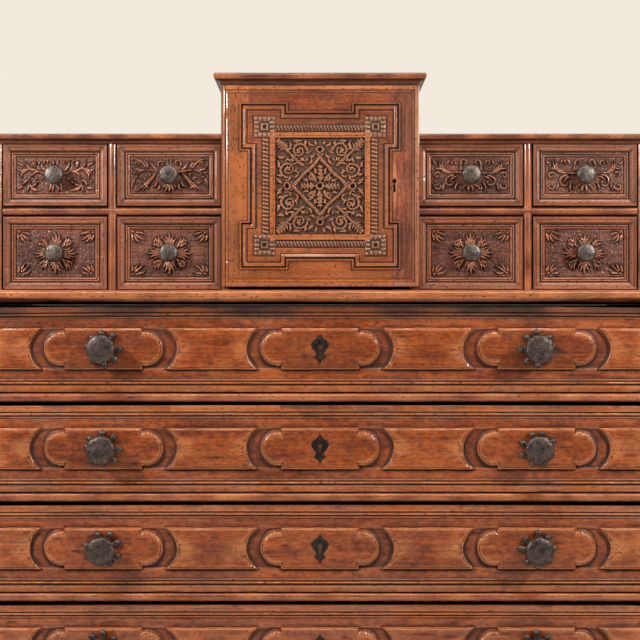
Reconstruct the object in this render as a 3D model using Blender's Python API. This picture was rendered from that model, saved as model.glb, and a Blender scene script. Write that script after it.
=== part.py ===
"""Walnut chest of four long drawers carrying an upper stage of eight small drawers and a cupboard.

Metres, +Z up. The front faces -Y, the floor is Z = 0, and the origin is the middle of the footprint,
with the projecting knobs counted in.
"""

from math import acos, asin, cos, pi, sin, tau

import bmesh
import bpy
from mathutils import Vector
from mathutils.geometry import delaunay_2d_cdt

# Fits
FIT = 0.0003
HOLE_CLEARANCE = 0.0005
BOOLEAN_LAP = 0.002
PLANE_EPSILON = 1e-7

# Lower case
CASE_WIDTH = 1.430
CASE_DEPTH = 0.580
SIDE_THICKNESS = 0.035
BACK_THICKNESS = 0.015
BOTTOM_THICKNESS = 0.018
RAIL_THICKNESS = 0.018
LONG_ROWS = 4
LONG_OPENING = 0.182
TOP_THICKNESS = 0.024
TOP_OVERHANG = 0.020
TOP_ROUND = 0.006
SIDE_FRAME_WIDTH = 0.085
SIDE_PANEL_SINK = 0.008
SIDE_PANEL_BEVEL = 0.018

# Plinth with bracket feet
PLINTH_HEIGHT = 0.137
PLINTH_THICKNESS = 0.020
PLINTH_LAP = 0.045
PLINTH_MOULDING = 0.034
PLINTH_LIP = 0.004
FOOT_HEIGHT = 0.074
FOOT_WIDTH = 0.150
FOOT_OGEE = 0.070

# Long drawers
LONG_FRONT_THICKNESS = 0.024
LONG_SIDE_GAP = 0.002
LONG_GAP_BELOW = 0.002
LONG_GAP_ABOVE = 0.007
LONG_FILLET = 0.013
LONG_STEP = 0.007
LONG_GROUND_DEPTH = 0.006
LONG_GROUND_MARGIN = 0.0175
FIELD_RISE = 0.0045
FIELD_BEVEL = 0.006
CARTOUCHE_FROM_END = 0.1995
CARTOUCHE_LENGTH = 0.156
LOBE_RADIUS = 0.034
LOBE_OUT = 0.005
BITE_REACH = 0.139
BITE_RADIUS = 0.045
TRAY_WALL = 0.014
TRAY_BACK = 0.012
TRAY_FLOOR = 0.010
TRAY_HEIGHT = 0.135
TRAY_CLEARANCE = 0.0407

# Iron knobs and locks
LARGE_KNOB_LENGTH = 0.050
LARGE_KNOB_RADIUS = 0.026
LARGE_SHANK_RADIUS = 0.005
LARGE_NECK_RADIUS = 0.007
ROSETTE_RADIUS = 0.037
ROSETTE_VALLEY = 0.68
ROSETTE_THICKNESS = 0.004
ROSETTE_PETALS = 8
SMALL_KNOB_LENGTH = 0.034
SMALL_KNOB_RADIUS = 0.0185
SMALL_SHANK_RADIUS = 0.004
SMALL_NECK_RADIUS = 0.0055
SHANK_PROUD = 0.006
ESCUTCHEON_WIDTH = 0.035
ESCUTCHEON_HEIGHT = 0.061
ESCUTCHEON_THICKNESS = 0.002
LOCK_WIDTH = 0.080
LOCK_HEIGHT = 0.060
LOCK_DEPTH = 0.014
KEY_PIPE_RADIUS = 0.007
KEYHOLE_RADIUS = 0.003
KEYHOLE_SLOT = 0.0024
KEYHOLE_DROP = 0.010

# Upper stage
UPPER_SETBACK = 0.180
UPPER_BACK_THICKNESS = 0.012
CABINET_SIDE = 0.018
BANK_SET_IN = 0.022
MUNTIN_THICKNESS = 0.020
END_THICKNESS = 0.020
LOWER_ROW_OPENING = 0.163
SHELF_THICKNESS = 0.017
UPPER_ROW_OPENING = 0.134
BANK_TOP_THICKNESS = 0.020
BANK_TOP_OVERHANG = 0.012
CORNICE_HEIGHT = 0.024
CORNICE_OVERHANG = 0.0145

# Small drawers
SMALL_FRONT_THICKNESS = 0.018
SMALL_SIDE_GAP = 0.00125
LOWER_ROW_GAP_BELOW = 0.005
UPPER_ROW_GAP_BELOW = 0.002
LOWER_ROW_GAP_ABOVE = 0.004
UPPER_ROW_GAP_ABOVE = 0.0015
SMALL_BAND = 0.016
SMALL_STEP = 0.004
SMALL_PANEL_DEPTH = 0.007
SMALL_TRAY_WALL = 0.008
SMALL_TRAY_FLOOR = 0.006
SMALL_TRAY_CLEARANCE = 0.0397
SMALL_TRAY_DROP = 0.030

# Cupboard door
DOOR_THICKNESS = 0.022
DOOR_GAP_BELOW = 0.0107
DOOR_GAP_ABOVE = 0.0008
DOOR_EDGE = 0.018
DOOR_GROUND_DEPTH = 0.004
LUG_STRAIGHT_WIDTH = 0.305
LUG_STRAIGHT_HEIGHT = 0.318
LUG_TO_DOOR_SIDE = 0.0565
LUG_TO_DOOR_END = 0.05275
LUG_TO_PANEL_SIDE = 0.0585
LUG_TO_PANEL_END = 0.0575
LUG_PROJECTION = 0.0187
LUG_LENGTH = 0.105
LUG_MOULDING = 0.029
INNER_GROUND_DEPTH = 0.006
CORNER_BLOCK = 0.046
CORNER_BLOCK_RISE = 0.0045
ROPE_WIDTH = 0.0145
ROPE_RISE = 0.003
ROPE_TO_PANEL = 0.0135
PANEL_FRAME = 0.013
PANEL_FRAME_RISE = 0.004
PANEL_REBATE = 0.006
PANEL_LIP = 0.008
PANEL_THICKNESS = 0.010
PIVOT_RADIUS = 0.004
PIVOT_IN_DOOR = 0.025
PIVOT_IN_CASE = 0.012
DOOR_LOCK_WIDTH = 0.066
DOOR_LOCK_HEIGHT = 0.090
DOOR_KEYHOLE_FROM_EDGE = 0.052

# Facets
BEAD_STEPS = 8
LOBE_STEPS = 10
BITE_STEPS = 6
PIN_STEPS = 12
SMALL_KNOB_STEPS = 16
OGEE_STEPS = 8

# Places that follow from the sizes above
FIELD_DEPTH = LONG_GROUND_DEPTH - FIELD_RISE
KNOB_REACH = LARGE_KNOB_LENGTH + FIT - FIELD_DEPTH
FRONT_Y = (KNOB_REACH - CASE_DEPTH) / 2
REAR_Y = FRONT_Y + CASE_DEPTH
CASE_INSIDE = CASE_WIDTH / 2 - SIDE_THICKNESS
TRAY_LENGTH = CASE_DEPTH - LONG_FRONT_THICKNESS - FIT - TRAY_CLEARANCE - BACK_THICKNESS
LONG_BORDER = LONG_FILLET + 2 * LONG_STEP
LONG_HALF = CASE_INSIDE - LONG_SIDE_GAP
FIELD_HALF = LONG_HALF - LONG_BORDER - LONG_GROUND_MARGIN
CARTOUCHE_PITCH = FIELD_HALF - CARTOUCHE_FROM_END
LONG_PITCH = LONG_OPENING + RAIL_THICKNESS
FIRST_OPENING_Z = PLINTH_HEIGHT + BOTTOM_THICKNESS
CASE_TOP_Z = FIRST_OPENING_Z + LONG_ROWS * LONG_PITCH - RAIL_THICKNESS
LEDGE_Z = CASE_TOP_Z + TOP_THICKNESS
UPPER_FRONT_Y = FRONT_Y + UPPER_SETBACK
UPPER_INSIDE_REAR_Y = REAR_Y - UPPER_BACK_THICKNESS - FIT
SMALL_TRAY_REAR = UPPER_INSIDE_REAR_Y - UPPER_FRONT_Y - SMALL_TRAY_CLEARANCE
DOOR_HEIGHT = LUG_STRAIGHT_HEIGHT + 2 * LUG_TO_DOOR_END
CABINET_HALF = LUG_STRAIGHT_WIDTH / 2 + LUG_TO_DOOR_SIDE
CABINET_HEIGHT = DOOR_GAP_BELOW + DOOR_HEIGHT + DOOR_GAP_ABOVE
PANEL_WIDTH = LUG_STRAIGHT_WIDTH - 2 * LUG_TO_PANEL_SIDE
PANEL_HEIGHT = LUG_STRAIGHT_HEIGHT - 2 * LUG_TO_PANEL_END
BANK_HALF = CASE_WIDTH / 2 - BANK_SET_IN
BANK_INSIDE = BANK_HALF - END_THICKNESS
COLUMN_OPENING = (BANK_INSIDE - CABINET_HALF - MUNTIN_THICKNESS) / 2
MUNTIN_X = CABINET_HALF + COLUMN_OPENING + MUNTIN_THICKNESS / 2
SHELF_Z = LEDGE_Z + LOWER_ROW_OPENING
UPPER_ROW_Z = SHELF_Z + SHELF_THICKNESS
BANK_TOP_Z = UPPER_ROW_Z + UPPER_ROW_OPENING
CORNICE_Z = LEDGE_Z + CABINET_HEIGHT
HINGE_X = DOOR_THICKNESS / 2 - CABINET_HALF
HINGE_Y = UPPER_FRONT_Y - DOOR_THICKNESS / 2


def material(name, colour, roughness, metallic):
    made = bpy.data.materials.new(name)
    made.use_nodes = True
    shader = made.node_tree.nodes["Principled BSDF"]
    shader.inputs["Base Color"].default_value = (*colour, 1)
    shader.inputs["Roughness"].default_value = roughness
    shader.inputs["Metallic"].default_value = metallic
    return made


def place(name, mesh, finish, location=(0, 0, 0), parent=None):
    """One named piece of the assembly, with its own copy of the finish."""
    piece = bpy.data.objects.new(name, mesh)
    piece.location = location
    piece.parent = parent
    bpy.context.collection.objects.link(piece)
    piece.data.materials.clear()
    piece.data.materials.append(finish)
    return piece


def axis_empty(name, location):
    """The empty that a moving piece's parts hang from, on the axis of its joint."""
    empty = bpy.data.objects.new(name, None)
    empty.location = location
    bpy.context.collection.objects.link(empty)
    return empty


def closed_mesh(name, bm, smooth_below=0.6):
    bmesh.ops.recalc_face_normals(bm, faces=bm.faces)
    mesh = bpy.data.meshes.new(name)
    bm.to_mesh(mesh)
    bm.free()
    mesh.shade_smooth()
    mesh.set_sharp_from_angle(angle=smooth_below)
    return mesh


def rows_of(bm, loops):
    return [[bm.verts.new(point) for point in loop] for loop in loops]


def bridge(bm, rows):
    """Quads between each row of vertices and the next, which has equally many."""
    for row, other in zip(rows, rows[1:]):
        for a, b, c, d in zip(row, row[1:] + row[:1], other[1:] + other[:1], other):
            bm.faces.new((a, b, c, d))


def inside(point, outline):
    """Whether a point lies in a closed outline, by counting the edges to its right."""
    crossed = False
    for a, b in zip(outline, outline[1:] + outline[:1]):
        if (a.y > point.y) != (b.y > point.y):
            crossed ^= point.x < a.x + (b.x - a.x) * (point.y - a.y) / (b.y - a.y)
    return crossed


def fill(bm, outer, holes=()):
    """One face within a loop of vertices, or the faces between it and the loops inside it.

    A loop with others inside it lies in a plane that faces the front.
    """
    if not holes:
        bm.faces.new(outer)
        return
    loops = [outer, *holes]
    verts = [vert for loop in loops for vert in loop]
    outlines = [[Vector((vert.co.x, vert.co.z)) for vert in loop] for loop in loops]
    edges = []
    for loop in loops:
        first, count = len(edges), len(loop)
        edges += [(first + k, first + (k + 1) % count) for k in range(count)]
    flat = [point for outline in outlines for point in outline]
    points, _, triangles, origins, _, _ = delaunay_2d_cdt(flat, edges, [], 0, PLANE_EPSILON)
    for triangle in triangles:
        middle = sum((points[i] for i in triangle), Vector((0, 0))) / 3
        if inside(middle, outlines[0]) and not any(inside(middle, hole) for hole in outlines[1:]):
            bm.faces.new([verts[origins[i][0]] for i in triangle])


def loft(name, loops):
    """A closed mesh through loops of equally many points, capped at both ends."""
    bm = bmesh.new()
    rows = rows_of(bm, loops)
    bridge(bm, rows)
    fill(bm, rows[0])
    fill(bm, rows[-1])
    return closed_mesh(name, bm)


def box(name, low, high):
    (x0, y0, z0), (x1, y1, z1) = low, high
    plan = ((x0, y0), (x1, y0), (x1, y1), (x0, y1))
    return loft(name, [[(x, y, z) for x, y in plan] for z in (z0, z1)])


def combine(name, base, tool, operation):
    """The mesh that an exact Boolean makes of two closed meshes."""
    body = bpy.data.objects.new("boolean_base", base)
    other = bpy.data.objects.new("boolean_tool", tool)
    for temporary in (body, other):
        bpy.context.collection.objects.link(temporary)
    modifier = body.modifiers.new("boolean", "BOOLEAN")
    modifier.operation = operation
    modifier.solver = "EXACT"
    modifier.object = other
    bpy.context.view_layer.update()
    graph = bpy.context.evaluated_depsgraph_get()
    mesh = bpy.data.meshes.new_from_object(body.evaluated_get(graph))
    mesh.name = name
    for temporary in (body, other):
        bpy.data.objects.remove(temporary)
    return mesh


def cut(mesh, tool):
    return combine(mesh.name, mesh, tool, "DIFFERENCE")


def join(mesh, tool):
    return combine(mesh.name, mesh, tool, "UNION")


def circle(radius, steps, lobe=lambda k: 1.0):
    return [
        (radius * lobe(k) * cos(tau * k / steps), radius * lobe(k) * sin(tau * k / steps))
        for k in range(steps)
    ]


def rod_along_y(name, x, z, radius, y0, y1):
    ring = circle(radius, PIN_STEPS)
    return loft(name, [[(x + u, y, z + v) for u, v in ring] for y in (y0, y1)])


def rod_along_z(name, x, y, radius, z0, z1):
    ring = circle(radius, PIN_STEPS)
    return loft(name, [[(x + u, y + v, z) for u, v in ring] for z in (z0, z1)])


def rectangle(x0, x1, z0, z1, y):
    """A loop of four corners in a plane that faces the front."""
    return [(x0, y, z0), (x1, y, z0), (x1, y, z1), (x0, y, z1)]


def framed(half_x, half_z, rings):
    """Rectangles about the origin, one for each (inset, depth behind the front)."""
    return [rectangle(d - half_x, half_x - d, d - half_z, half_z - d, y) for d, y in rings]


def beaded_outline(thickness, bead, length):
    """Across and along a board whose front edge is worked into a half-round bead."""
    radius = bead / 2
    arc = [(-radius * cos(pi * k / BEAD_STEPS), radius - radius * sin(pi * k / BEAD_STEPS))
           for k in range(BEAD_STEPS + 1)]
    half = thickness / 2
    if half > radius + FIT:
        arc = [(-half, radius), *arc, (half, radius)]
    return [*arc, (half, length), (-half, length)]


def shelf_board(name, x0, x1, y0, y1, z0, thickness):
    """A board that runs across, with its front edge a half-round bead."""
    outline = beaded_outline(thickness, thickness, y1 - y0)
    middle = z0 + thickness / 2
    return loft(name, [[(x, y0 + v, middle + u) for u, v in outline] for x in (x0, x1)])


def upright_board(name, x0, y0, y1, z0, z1, thickness, bead):
    """A board that stands up, with a half-round bead down its front edge."""
    outline = beaded_outline(thickness, bead, y1 - y0)
    middle = x0 + thickness / 2
    return loft(name, [[(middle + u, y0 + v, z) for u, v in outline] for z in (z0, z1)])


def moulded_board(name, low, high, profile, left, right):
    """A flat board whose front edge, and each end that is named, carries a moulding.

    The profile gives, upwards, (height above the underside, overhang).
    """
    (x0, y0, z0), (x1, y1) = low, high
    loops = []
    for height, out in profile:
        a, b = x0 - out * left, x1 + out * right
        z = z0 + height
        loops.append([(a, y0 - out, z), (b, y0 - out, z), (b, y1, z), (a, y1, z)])
    return loft(name, loops)


def cavetto_and_torus(height, overhang):
    """A cornice profile: a hollow that curves out, then a rounded nosing above it."""
    hollow = height * 0.45
    profile = []
    for k in range(BEAD_STEPS // 2 + 1):
        turn = pi / 2 * k / (BEAD_STEPS // 2)
        profile.append((hollow * sin(turn), overhang * 0.75 * (1 - cos(turn))))
    nose = (height - hollow) / 2
    for k in range(BEAD_STEPS + 1):
        turn = pi * k / BEAD_STEPS - pi / 2
        profile.append((hollow + nose + nose * sin(turn), overhang * (0.75 + 0.25 * cos(turn))))
    return [*profile[:BEAD_STEPS // 2], *profile[BEAD_STEPS // 2 + 1:]]


def nosing(height, overhang, radius):
    """The edge of the case top: square, with its two arrises rounded."""
    lower, upper = [], []
    for k in range(BEAD_STEPS // 2 + 1):
        turn = pi / 2 * k / (BEAD_STEPS // 2)
        lower.append((radius * (1 - cos(turn)), overhang - radius * (1 - sin(turn))))
        upper.append((height - radius * (1 - sin(turn)), overhang - radius * (1 - cos(turn))))
    return [*lower, *upper]


def turned(name, rings, steps, lobe):
    """A turned piece about Y, from (radius, y, lobed) rings; lobed rings follow the petals."""
    loops = []
    for radius, y, lobed in rings:
        outline = circle(radius, steps, lobe if lobed else lambda k: 1.0)
        loops.append([(u, y, v) for u, v in outline])
    return loft(name, loops)


# Lower case


def case_side(name, direction):
    """One end of the case, with a sunk panel worked in its outer face."""
    z0 = PLINTH_HEIGHT - PLINTH_LAP
    z1 = CASE_TOP_Z - FIT
    inner = CASE_INSIDE
    x0 = inner if direction > 0 else -inner - SIDE_THICKNESS
    board = upright_board(name, x0, FRONT_Y, REAR_Y, z0, z1, SIDE_THICKNESS, RAIL_THICKNESS)
    outside = direction * CASE_WIDTH / 2
    frame = (
        (FRONT_Y + SIDE_FRAME_WIDTH, REAR_Y - SIDE_FRAME_WIDTH),
        (PLINTH_HEIGHT + SIDE_FRAME_WIDTH, CASE_TOP_Z - SIDE_FRAME_WIDTH),
    )
    loops = []
    for x, inset in (
        (outside + direction * BOOLEAN_LAP, -SIDE_PANEL_BEVEL * BOOLEAN_LAP / SIDE_PANEL_SINK),
        (outside - direction * SIDE_PANEL_SINK, SIDE_PANEL_BEVEL),
    ):
        (ya, yb), (za, zb) = frame
        ya, yb, za, zb = ya + inset, yb - inset, za + inset, zb - inset
        loops.append([(x, ya, za), (x, yb, za), (x, yb, zb), (x, ya, zb)])
    return cut(board, loft("side_panel_sinking", loops))


def ogee_opening(a, b):
    """The outline of the space between two bracket feet, above the floor."""
    rise = [k / OGEE_STEPS for k in range(OGEE_STEPS + 1)]
    up = [(a + FOOT_OGEE * t, FOOT_HEIGHT * (1 - cos(pi * t)) / 2) for t in rise]
    down = [(b - FOOT_OGEE * t, FOOT_HEIGHT * (1 - cos(pi * t)) / 2) for t in reversed(rise)]
    return [(a, -BOOLEAN_LAP), *up, *down, (b, -BOOLEAN_LAP)]


def plinth():
    """The base moulding on three sides, sawn into bracket feet below."""
    inner = CASE_WIDTH / 2 + FIT
    front = FRONT_Y - FIT
    body = PLINTH_HEIGHT - PLINTH_MOULDING
    profile = [(0, PLINTH_THICKNESS), (body, PLINTH_THICKNESS)]
    for k in range(1, OGEE_STEPS + 1):
        t = k / OGEE_STEPS
        ease = (1 - cos(pi * t)) / 2
        out = PLINTH_THICKNESS - (PLINTH_THICKNESS - PLINTH_LIP) * ease
        profile.append((body + PLINTH_MOULDING * t, out))
    loops = []
    for z, out in profile:
        x, y = inner + out, front - out
        loops.append([
            (-x, REAR_Y, z), (-x, y, z), (x, y, z), (x, REAR_Y, z),
            (inner, REAR_Y, z), (inner, front, z), (-inner, front, z), (-inner, REAR_Y, z),
        ])
    base = loft("plinth", loops)
    outer = inner + PLINTH_THICKNESS
    across = ogee_opening(FOOT_WIDTH - outer, outer - FOOT_WIDTH)
    ahead = front - PLINTH_THICKNESS - BOOLEAN_LAP
    behind = front + BOOLEAN_LAP
    base = cut(base, loft("front_arch", [[(x, y, z) for x, z in across] for y in (ahead, behind)]))
    along = ogee_opening(front - PLINTH_THICKNESS + FOOT_WIDTH, REAR_Y - FOOT_WIDTH)
    reach = outer + BOOLEAN_LAP
    return cut(base, loft("side_arch", [[(x, y, z) for y, z in along] for x in (-reach, reach)]))


def lower_case(walnut, poplar):
    between = CASE_INSIDE - FIT
    inside_rear = REAR_Y - BACK_THICKNESS - FIT
    for name, direction in (("case_left_side", -1), ("case_right_side", 1)):
        place(name, case_side(name, direction), walnut(name))
    back = box(
        "case_back",
        (-between, REAR_Y - BACK_THICKNESS, PLINTH_HEIGHT),
        (between, REAR_Y, CASE_TOP_Z - FIT),
    )
    place("case_back", back, poplar("case_back"))
    floor = shelf_board(
        "case_bottom", -between, between, FRONT_Y, inside_rear, PLINTH_HEIGHT, BOTTOM_THICKNESS
    )
    place("case_bottom", floor, walnut("case_bottom"))
    for n in range(1, LONG_ROWS):
        name = f"case_rail_{n}"
        z = FIRST_OPENING_Z + (LONG_ROWS - n) * LONG_PITCH - RAIL_THICKNESS
        rail = shelf_board(name, -between, between, FRONT_Y, inside_rear, z, RAIL_THICKNESS)
        place(name, rail, walnut(name))
    top = moulded_board(
        "case_top",
        (-CASE_WIDTH / 2, FRONT_Y, CASE_TOP_Z),
        (CASE_WIDTH / 2, REAR_Y),
        nosing(TOP_THICKNESS, TOP_OVERHANG, TOP_ROUND),
        left=1,
        right=1,
    )
    socket = rod_along_z(
        "pivot_socket",
        HINGE_X,
        HINGE_Y,
        PIVOT_RADIUS + HOLE_CLEARANCE,
        LEDGE_Z - PIVOT_IN_CASE - FIT,
        LEDGE_Z + BOOLEAN_LAP,
    )
    place("case_top", cut(top, socket), walnut("case_top"))
    place("plinth", plinth(), walnut("plinth"))


# Long drawers


def cartouche(x, half_height, inset):
    """A tablet with a round lobe at each end, stepped in where the lobe meets it."""
    end = CARTOUCHE_LENGTH / 2 - inset
    radius = LOBE_RADIUS - inset
    middle = CARTOUCHE_LENGTH / 2 + LOBE_OUT
    sweep = acos((end - middle) / radius)
    turns = [sweep * (2 * k / LOBE_STEPS - 1) for k in range(LOBE_STEPS + 1)]
    right = [(x + middle + radius * cos(t), radius * sin(t)) for t in turns]
    left = [(x - middle - radius * cos(t), -radius * sin(t)) for t in turns]
    top = half_height - inset
    return [
        *right, (x + end, top), (x - end, top),
        *left, (x - end, -top), (x + end, -top),
    ]


def bitten_panel(left, right, half_height, inset):
    """A panel between two tablets; an end given as a tablet's middle is hollowed round its lobe."""
    top = half_height - inset
    radius = BITE_RADIUS + inset
    sweep = asin(top / radius)
    turns = [sweep * (2 * k / BITE_STEPS - 1) for k in range(BITE_STEPS + 1)]
    (left_x, left_hollow), (right_x, right_hollow) = left, right
    middle = BITE_REACH - BITE_RADIUS
    if right_hollow:
        end = [(right_x - middle - radius * cos(t), radius * sin(t)) for t in turns]
    else:
        end = [(right_x - inset, -top), (right_x - inset, top)]
    if left_hollow:
        start = [(left_x + middle + radius * cos(t), -radius * sin(t)) for t in turns]
    else:
        start = [(left_x + inset, top), (left_x + inset, -top)]
    return [*end, *start]


def long_front_mesh():
    """A long drawer front: stepped border, then tablets and panels that stand up from the ground."""
    half_x = LONG_HALF
    half_z = (LONG_OPENING - LONG_GAP_BELOW - LONG_GAP_ABOVE) / 2
    half_depth = LONG_GROUND_DEPTH / 2
    rings = [
        (0, LONG_FRONT_THICKNESS),
        (0, 0),
        (LONG_FILLET, 0),
        (LONG_FILLET + LONG_GROUND_DEPTH / 4, half_depth),
        (LONG_FILLET + LONG_STEP, half_depth),
        (LONG_BORDER, LONG_GROUND_DEPTH),
    ]
    bm = bmesh.new()
    rows = rows_of(bm, framed(half_x, half_z, rings))
    bridge(bm, rows)
    fill(bm, rows[0])
    field_x, field_z = FIELD_HALF, half_z - LONG_BORDER - LONG_GROUND_MARGIN
    tablets = (-CARTOUCHE_PITCH, 0, CARTOUCHE_PITCH)
    ends = [(-field_x, False), *[(x, True) for x in tablets], (field_x, False)]
    outlines = [lambda d, x=x: cartouche(x, field_z, d) for x in tablets]
    outlines += [
        lambda d, a=a, b=b: bitten_panel(a, b, field_z, d) for a, b in zip(ends, ends[1:])
    ]
    feet = []
    for outline in outlines:
        levels = ((0, LONG_GROUND_DEPTH), (FIELD_BEVEL, FIELD_DEPTH))
        raised = rows_of(bm, [[(x, y, z) for x, z in outline(d)] for d, y in levels])
        bridge(bm, raised)
        fill(bm, raised[-1])
        feet.append(raised[0])
    fill(bm, rows[-1], feet)
    front = closed_mesh("long_front", bm)
    bores = [(x, LARGE_SHANK_RADIUS) for x in (-CARTOUCHE_PITCH, CARTOUCHE_PITCH)]
    for x, radius in (*bores, (0, KEY_PIPE_RADIUS)):
        hole = rod_along_y(
            "bore", x, 0, radius + HOLE_CLEARANCE, -BOOLEAN_LAP, LONG_FRONT_THICKNESS + BOOLEAN_LAP
        )
        front = cut(front, hole)
    return front


def tray_mesh(name, half_x, y0, length, z0, height, wall, back, floor):
    """The sides, back and bottom of a drawer, open above and to its front."""
    outer = box(name, (-half_x, y0, z0), (half_x, y0 + length, z0 + height))
    hollow = box(
        "drawer_hollow",
        (wall - half_x, y0 - BOOLEAN_LAP, z0 + floor),
        (half_x - wall, y0 + length - back, z0 + height + BOOLEAN_LAP),
    )
    return cut(outer, hollow)


def domed_face(radius, under, crown):
    """The rings of a knob's domed face, from a small flat at its middle out to its rim."""
    flat = 0.3
    turns = (flat, 0.8, 1.2, pi / 2)
    return [(radius * sin(t), -under - crown * cos(t) / cos(flat), False) for t in turns]


def large_knob_mesh():
    """A mushroom knob on a plate of ball-tipped petals, with its shank, about Y from the plate."""
    def lobe(k):
        return 1.0 if k % 3 else ROSETTE_VALLEY

    length, radius, plate = LARGE_KNOB_LENGTH, LARGE_KNOB_RADIUS, ROSETTE_THICKNESS
    neck = LARGE_NECK_RADIUS
    under = length * 0.58
    crown = length - under
    rings = domed_face(radius, under, crown)
    rings += [
        (radius * 0.9, -under + crown * 0.2, False),
        (neck, -under + crown * 0.4, False),
        (neck, -plate * 2, False),
        (ROSETTE_RADIUS * 0.45, -plate * 1.4, False),
        (ROSETTE_RADIUS * 0.9, -plate, True),
        (ROSETTE_RADIUS, -plate * 0.5, True),
        (ROSETTE_RADIUS * 0.95, 0, True),
        (LARGE_SHANK_RADIUS, 0, False),
        (LARGE_SHANK_RADIUS, FIT + LONG_FRONT_THICKNESS - FIELD_DEPTH + SHANK_PROUD, False),
    ]
    return turned("large_knob", rings, 3 * ROSETTE_PETALS, lobe)


def small_knob_mesh():
    """A flattened round knob with its shank, about Y from the sunk panel that it stands on."""
    length, radius, neck = SMALL_KNOB_LENGTH, SMALL_KNOB_RADIUS, SMALL_NECK_RADIUS
    under = length * 0.6
    crown = length - under
    rings = domed_face(radius, under, crown)
    rings += [
        (radius * 0.85, -under + crown * 0.3, False),
        (neck, -under + crown * 0.6, False),
        (neck, -neck, False),
        (neck * 1.6, 0, False),
        (SMALL_SHANK_RADIUS, 0, False),
        (SMALL_SHANK_RADIUS, FIT + SMALL_FRONT_THICKNESS - SMALL_PANEL_DEPTH + SHANK_PROUD, False),
    ]
    return turned("small_knob", rings, SMALL_KNOB_STEPS, None)


def escutcheon_outline():
    """A shield: pointed head, broad shoulders, a narrow waist and an arrow tip below."""
    width, height = ESCUTCHEON_WIDTH / 2, ESCUTCHEON_HEIGHT / 2
    right = [
        (0.00, 1.00), (0.18, 0.80), (0.45, 0.72), (0.62, 0.86), (0.95, 0.52), (1.00, 0.22),
        (0.80, -0.08), (0.45, -0.30), (0.30, -0.48), (0.62, -0.56), (0.55, -0.70), (0.25, -0.76),
    ]
    outline = [(u * width, v * height) for u, v in right]
    return [*outline, (0, -height), *[(-u, v) for u, v in reversed(outline[1:])]]


def keyhole(y0, y1):
    """The cutter of a keyhole about Y: a round eye with a slot below it."""
    eye = rod_along_y("keyhole", 0, 0, KEYHOLE_RADIUS, y0, y1)
    slot = box("slot", (-KEYHOLE_SLOT / 2, y0, -KEYHOLE_DROP), (KEYHOLE_SLOT / 2, y1, 0))
    return join(eye, slot)


def long_lock_mesh():
    """An iron lock: its case behind the front, the key pipe through it and the shield before it."""
    face = FIELD_DEPTH - FIT
    outline = escutcheon_outline()
    shield = loft(
        "long_lock", [[(x, y, z) for x, z in outline] for y in (face - ESCUTCHEON_THICKNESS, face)]
    )
    inside = LONG_FRONT_THICKNESS + FIT
    pipe = rod_along_y(
        "key_pipe", 0, 0, KEY_PIPE_RADIUS, face - ESCUTCHEON_THICKNESS / 2, inside + LOCK_DEPTH / 2
    )
    case = box(
        "lock_case",
        (-LOCK_WIDTH / 2, inside, -LOCK_HEIGHT / 2),
        (LOCK_WIDTH / 2, inside + LOCK_DEPTH, LOCK_HEIGHT / 2),
    )
    whole = join(join(shield, pipe), case)
    return cut(whole, keyhole(face - ESCUTCHEON_THICKNESS - BOOLEAN_LAP, inside))


def long_drawers(walnut, poplar, iron):
    half_z = (LONG_OPENING - LONG_GAP_BELOW - LONG_GAP_ABOVE) / 2
    front = long_front_mesh()
    tray = tray_mesh(
        "long_tray",
        LONG_HALF,
        LONG_FRONT_THICKNESS + FIT,
        TRAY_LENGTH,
        FIT - LONG_GAP_BELOW - half_z,
        TRAY_HEIGHT,
        TRAY_WALL,
        TRAY_BACK,
        TRAY_FLOOR,
    )
    knob = large_knob_mesh()
    lock = long_lock_mesh()
    for n in range(1, LONG_ROWS + 1):
        z = FIRST_OPENING_Z + (LONG_ROWS - n) * LONG_PITCH + LONG_GAP_BELOW + half_z
        name = f"long_drawer_{n}"
        slide = axis_empty(name + "_slide", (0, FRONT_Y, z))
        place(name + "_front", front.copy(), walnut(name + "_front"), parent=slide)
        place(name + "_tray", tray.copy(), poplar(name + "_tray"), parent=slide)
        place(name + "_lock", lock.copy(), iron(name + "_lock"), parent=slide)
        for hand, x in (("left", -CARTOUCHE_PITCH), ("right", CARTOUCHE_PITCH)):
            knob_name = f"{name}_knob_{hand}"
            seat = (x, FIELD_DEPTH - FIT, 0)
            place(knob_name, knob.copy(), iron(knob_name), seat, slide)


# Upper stage


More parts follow.
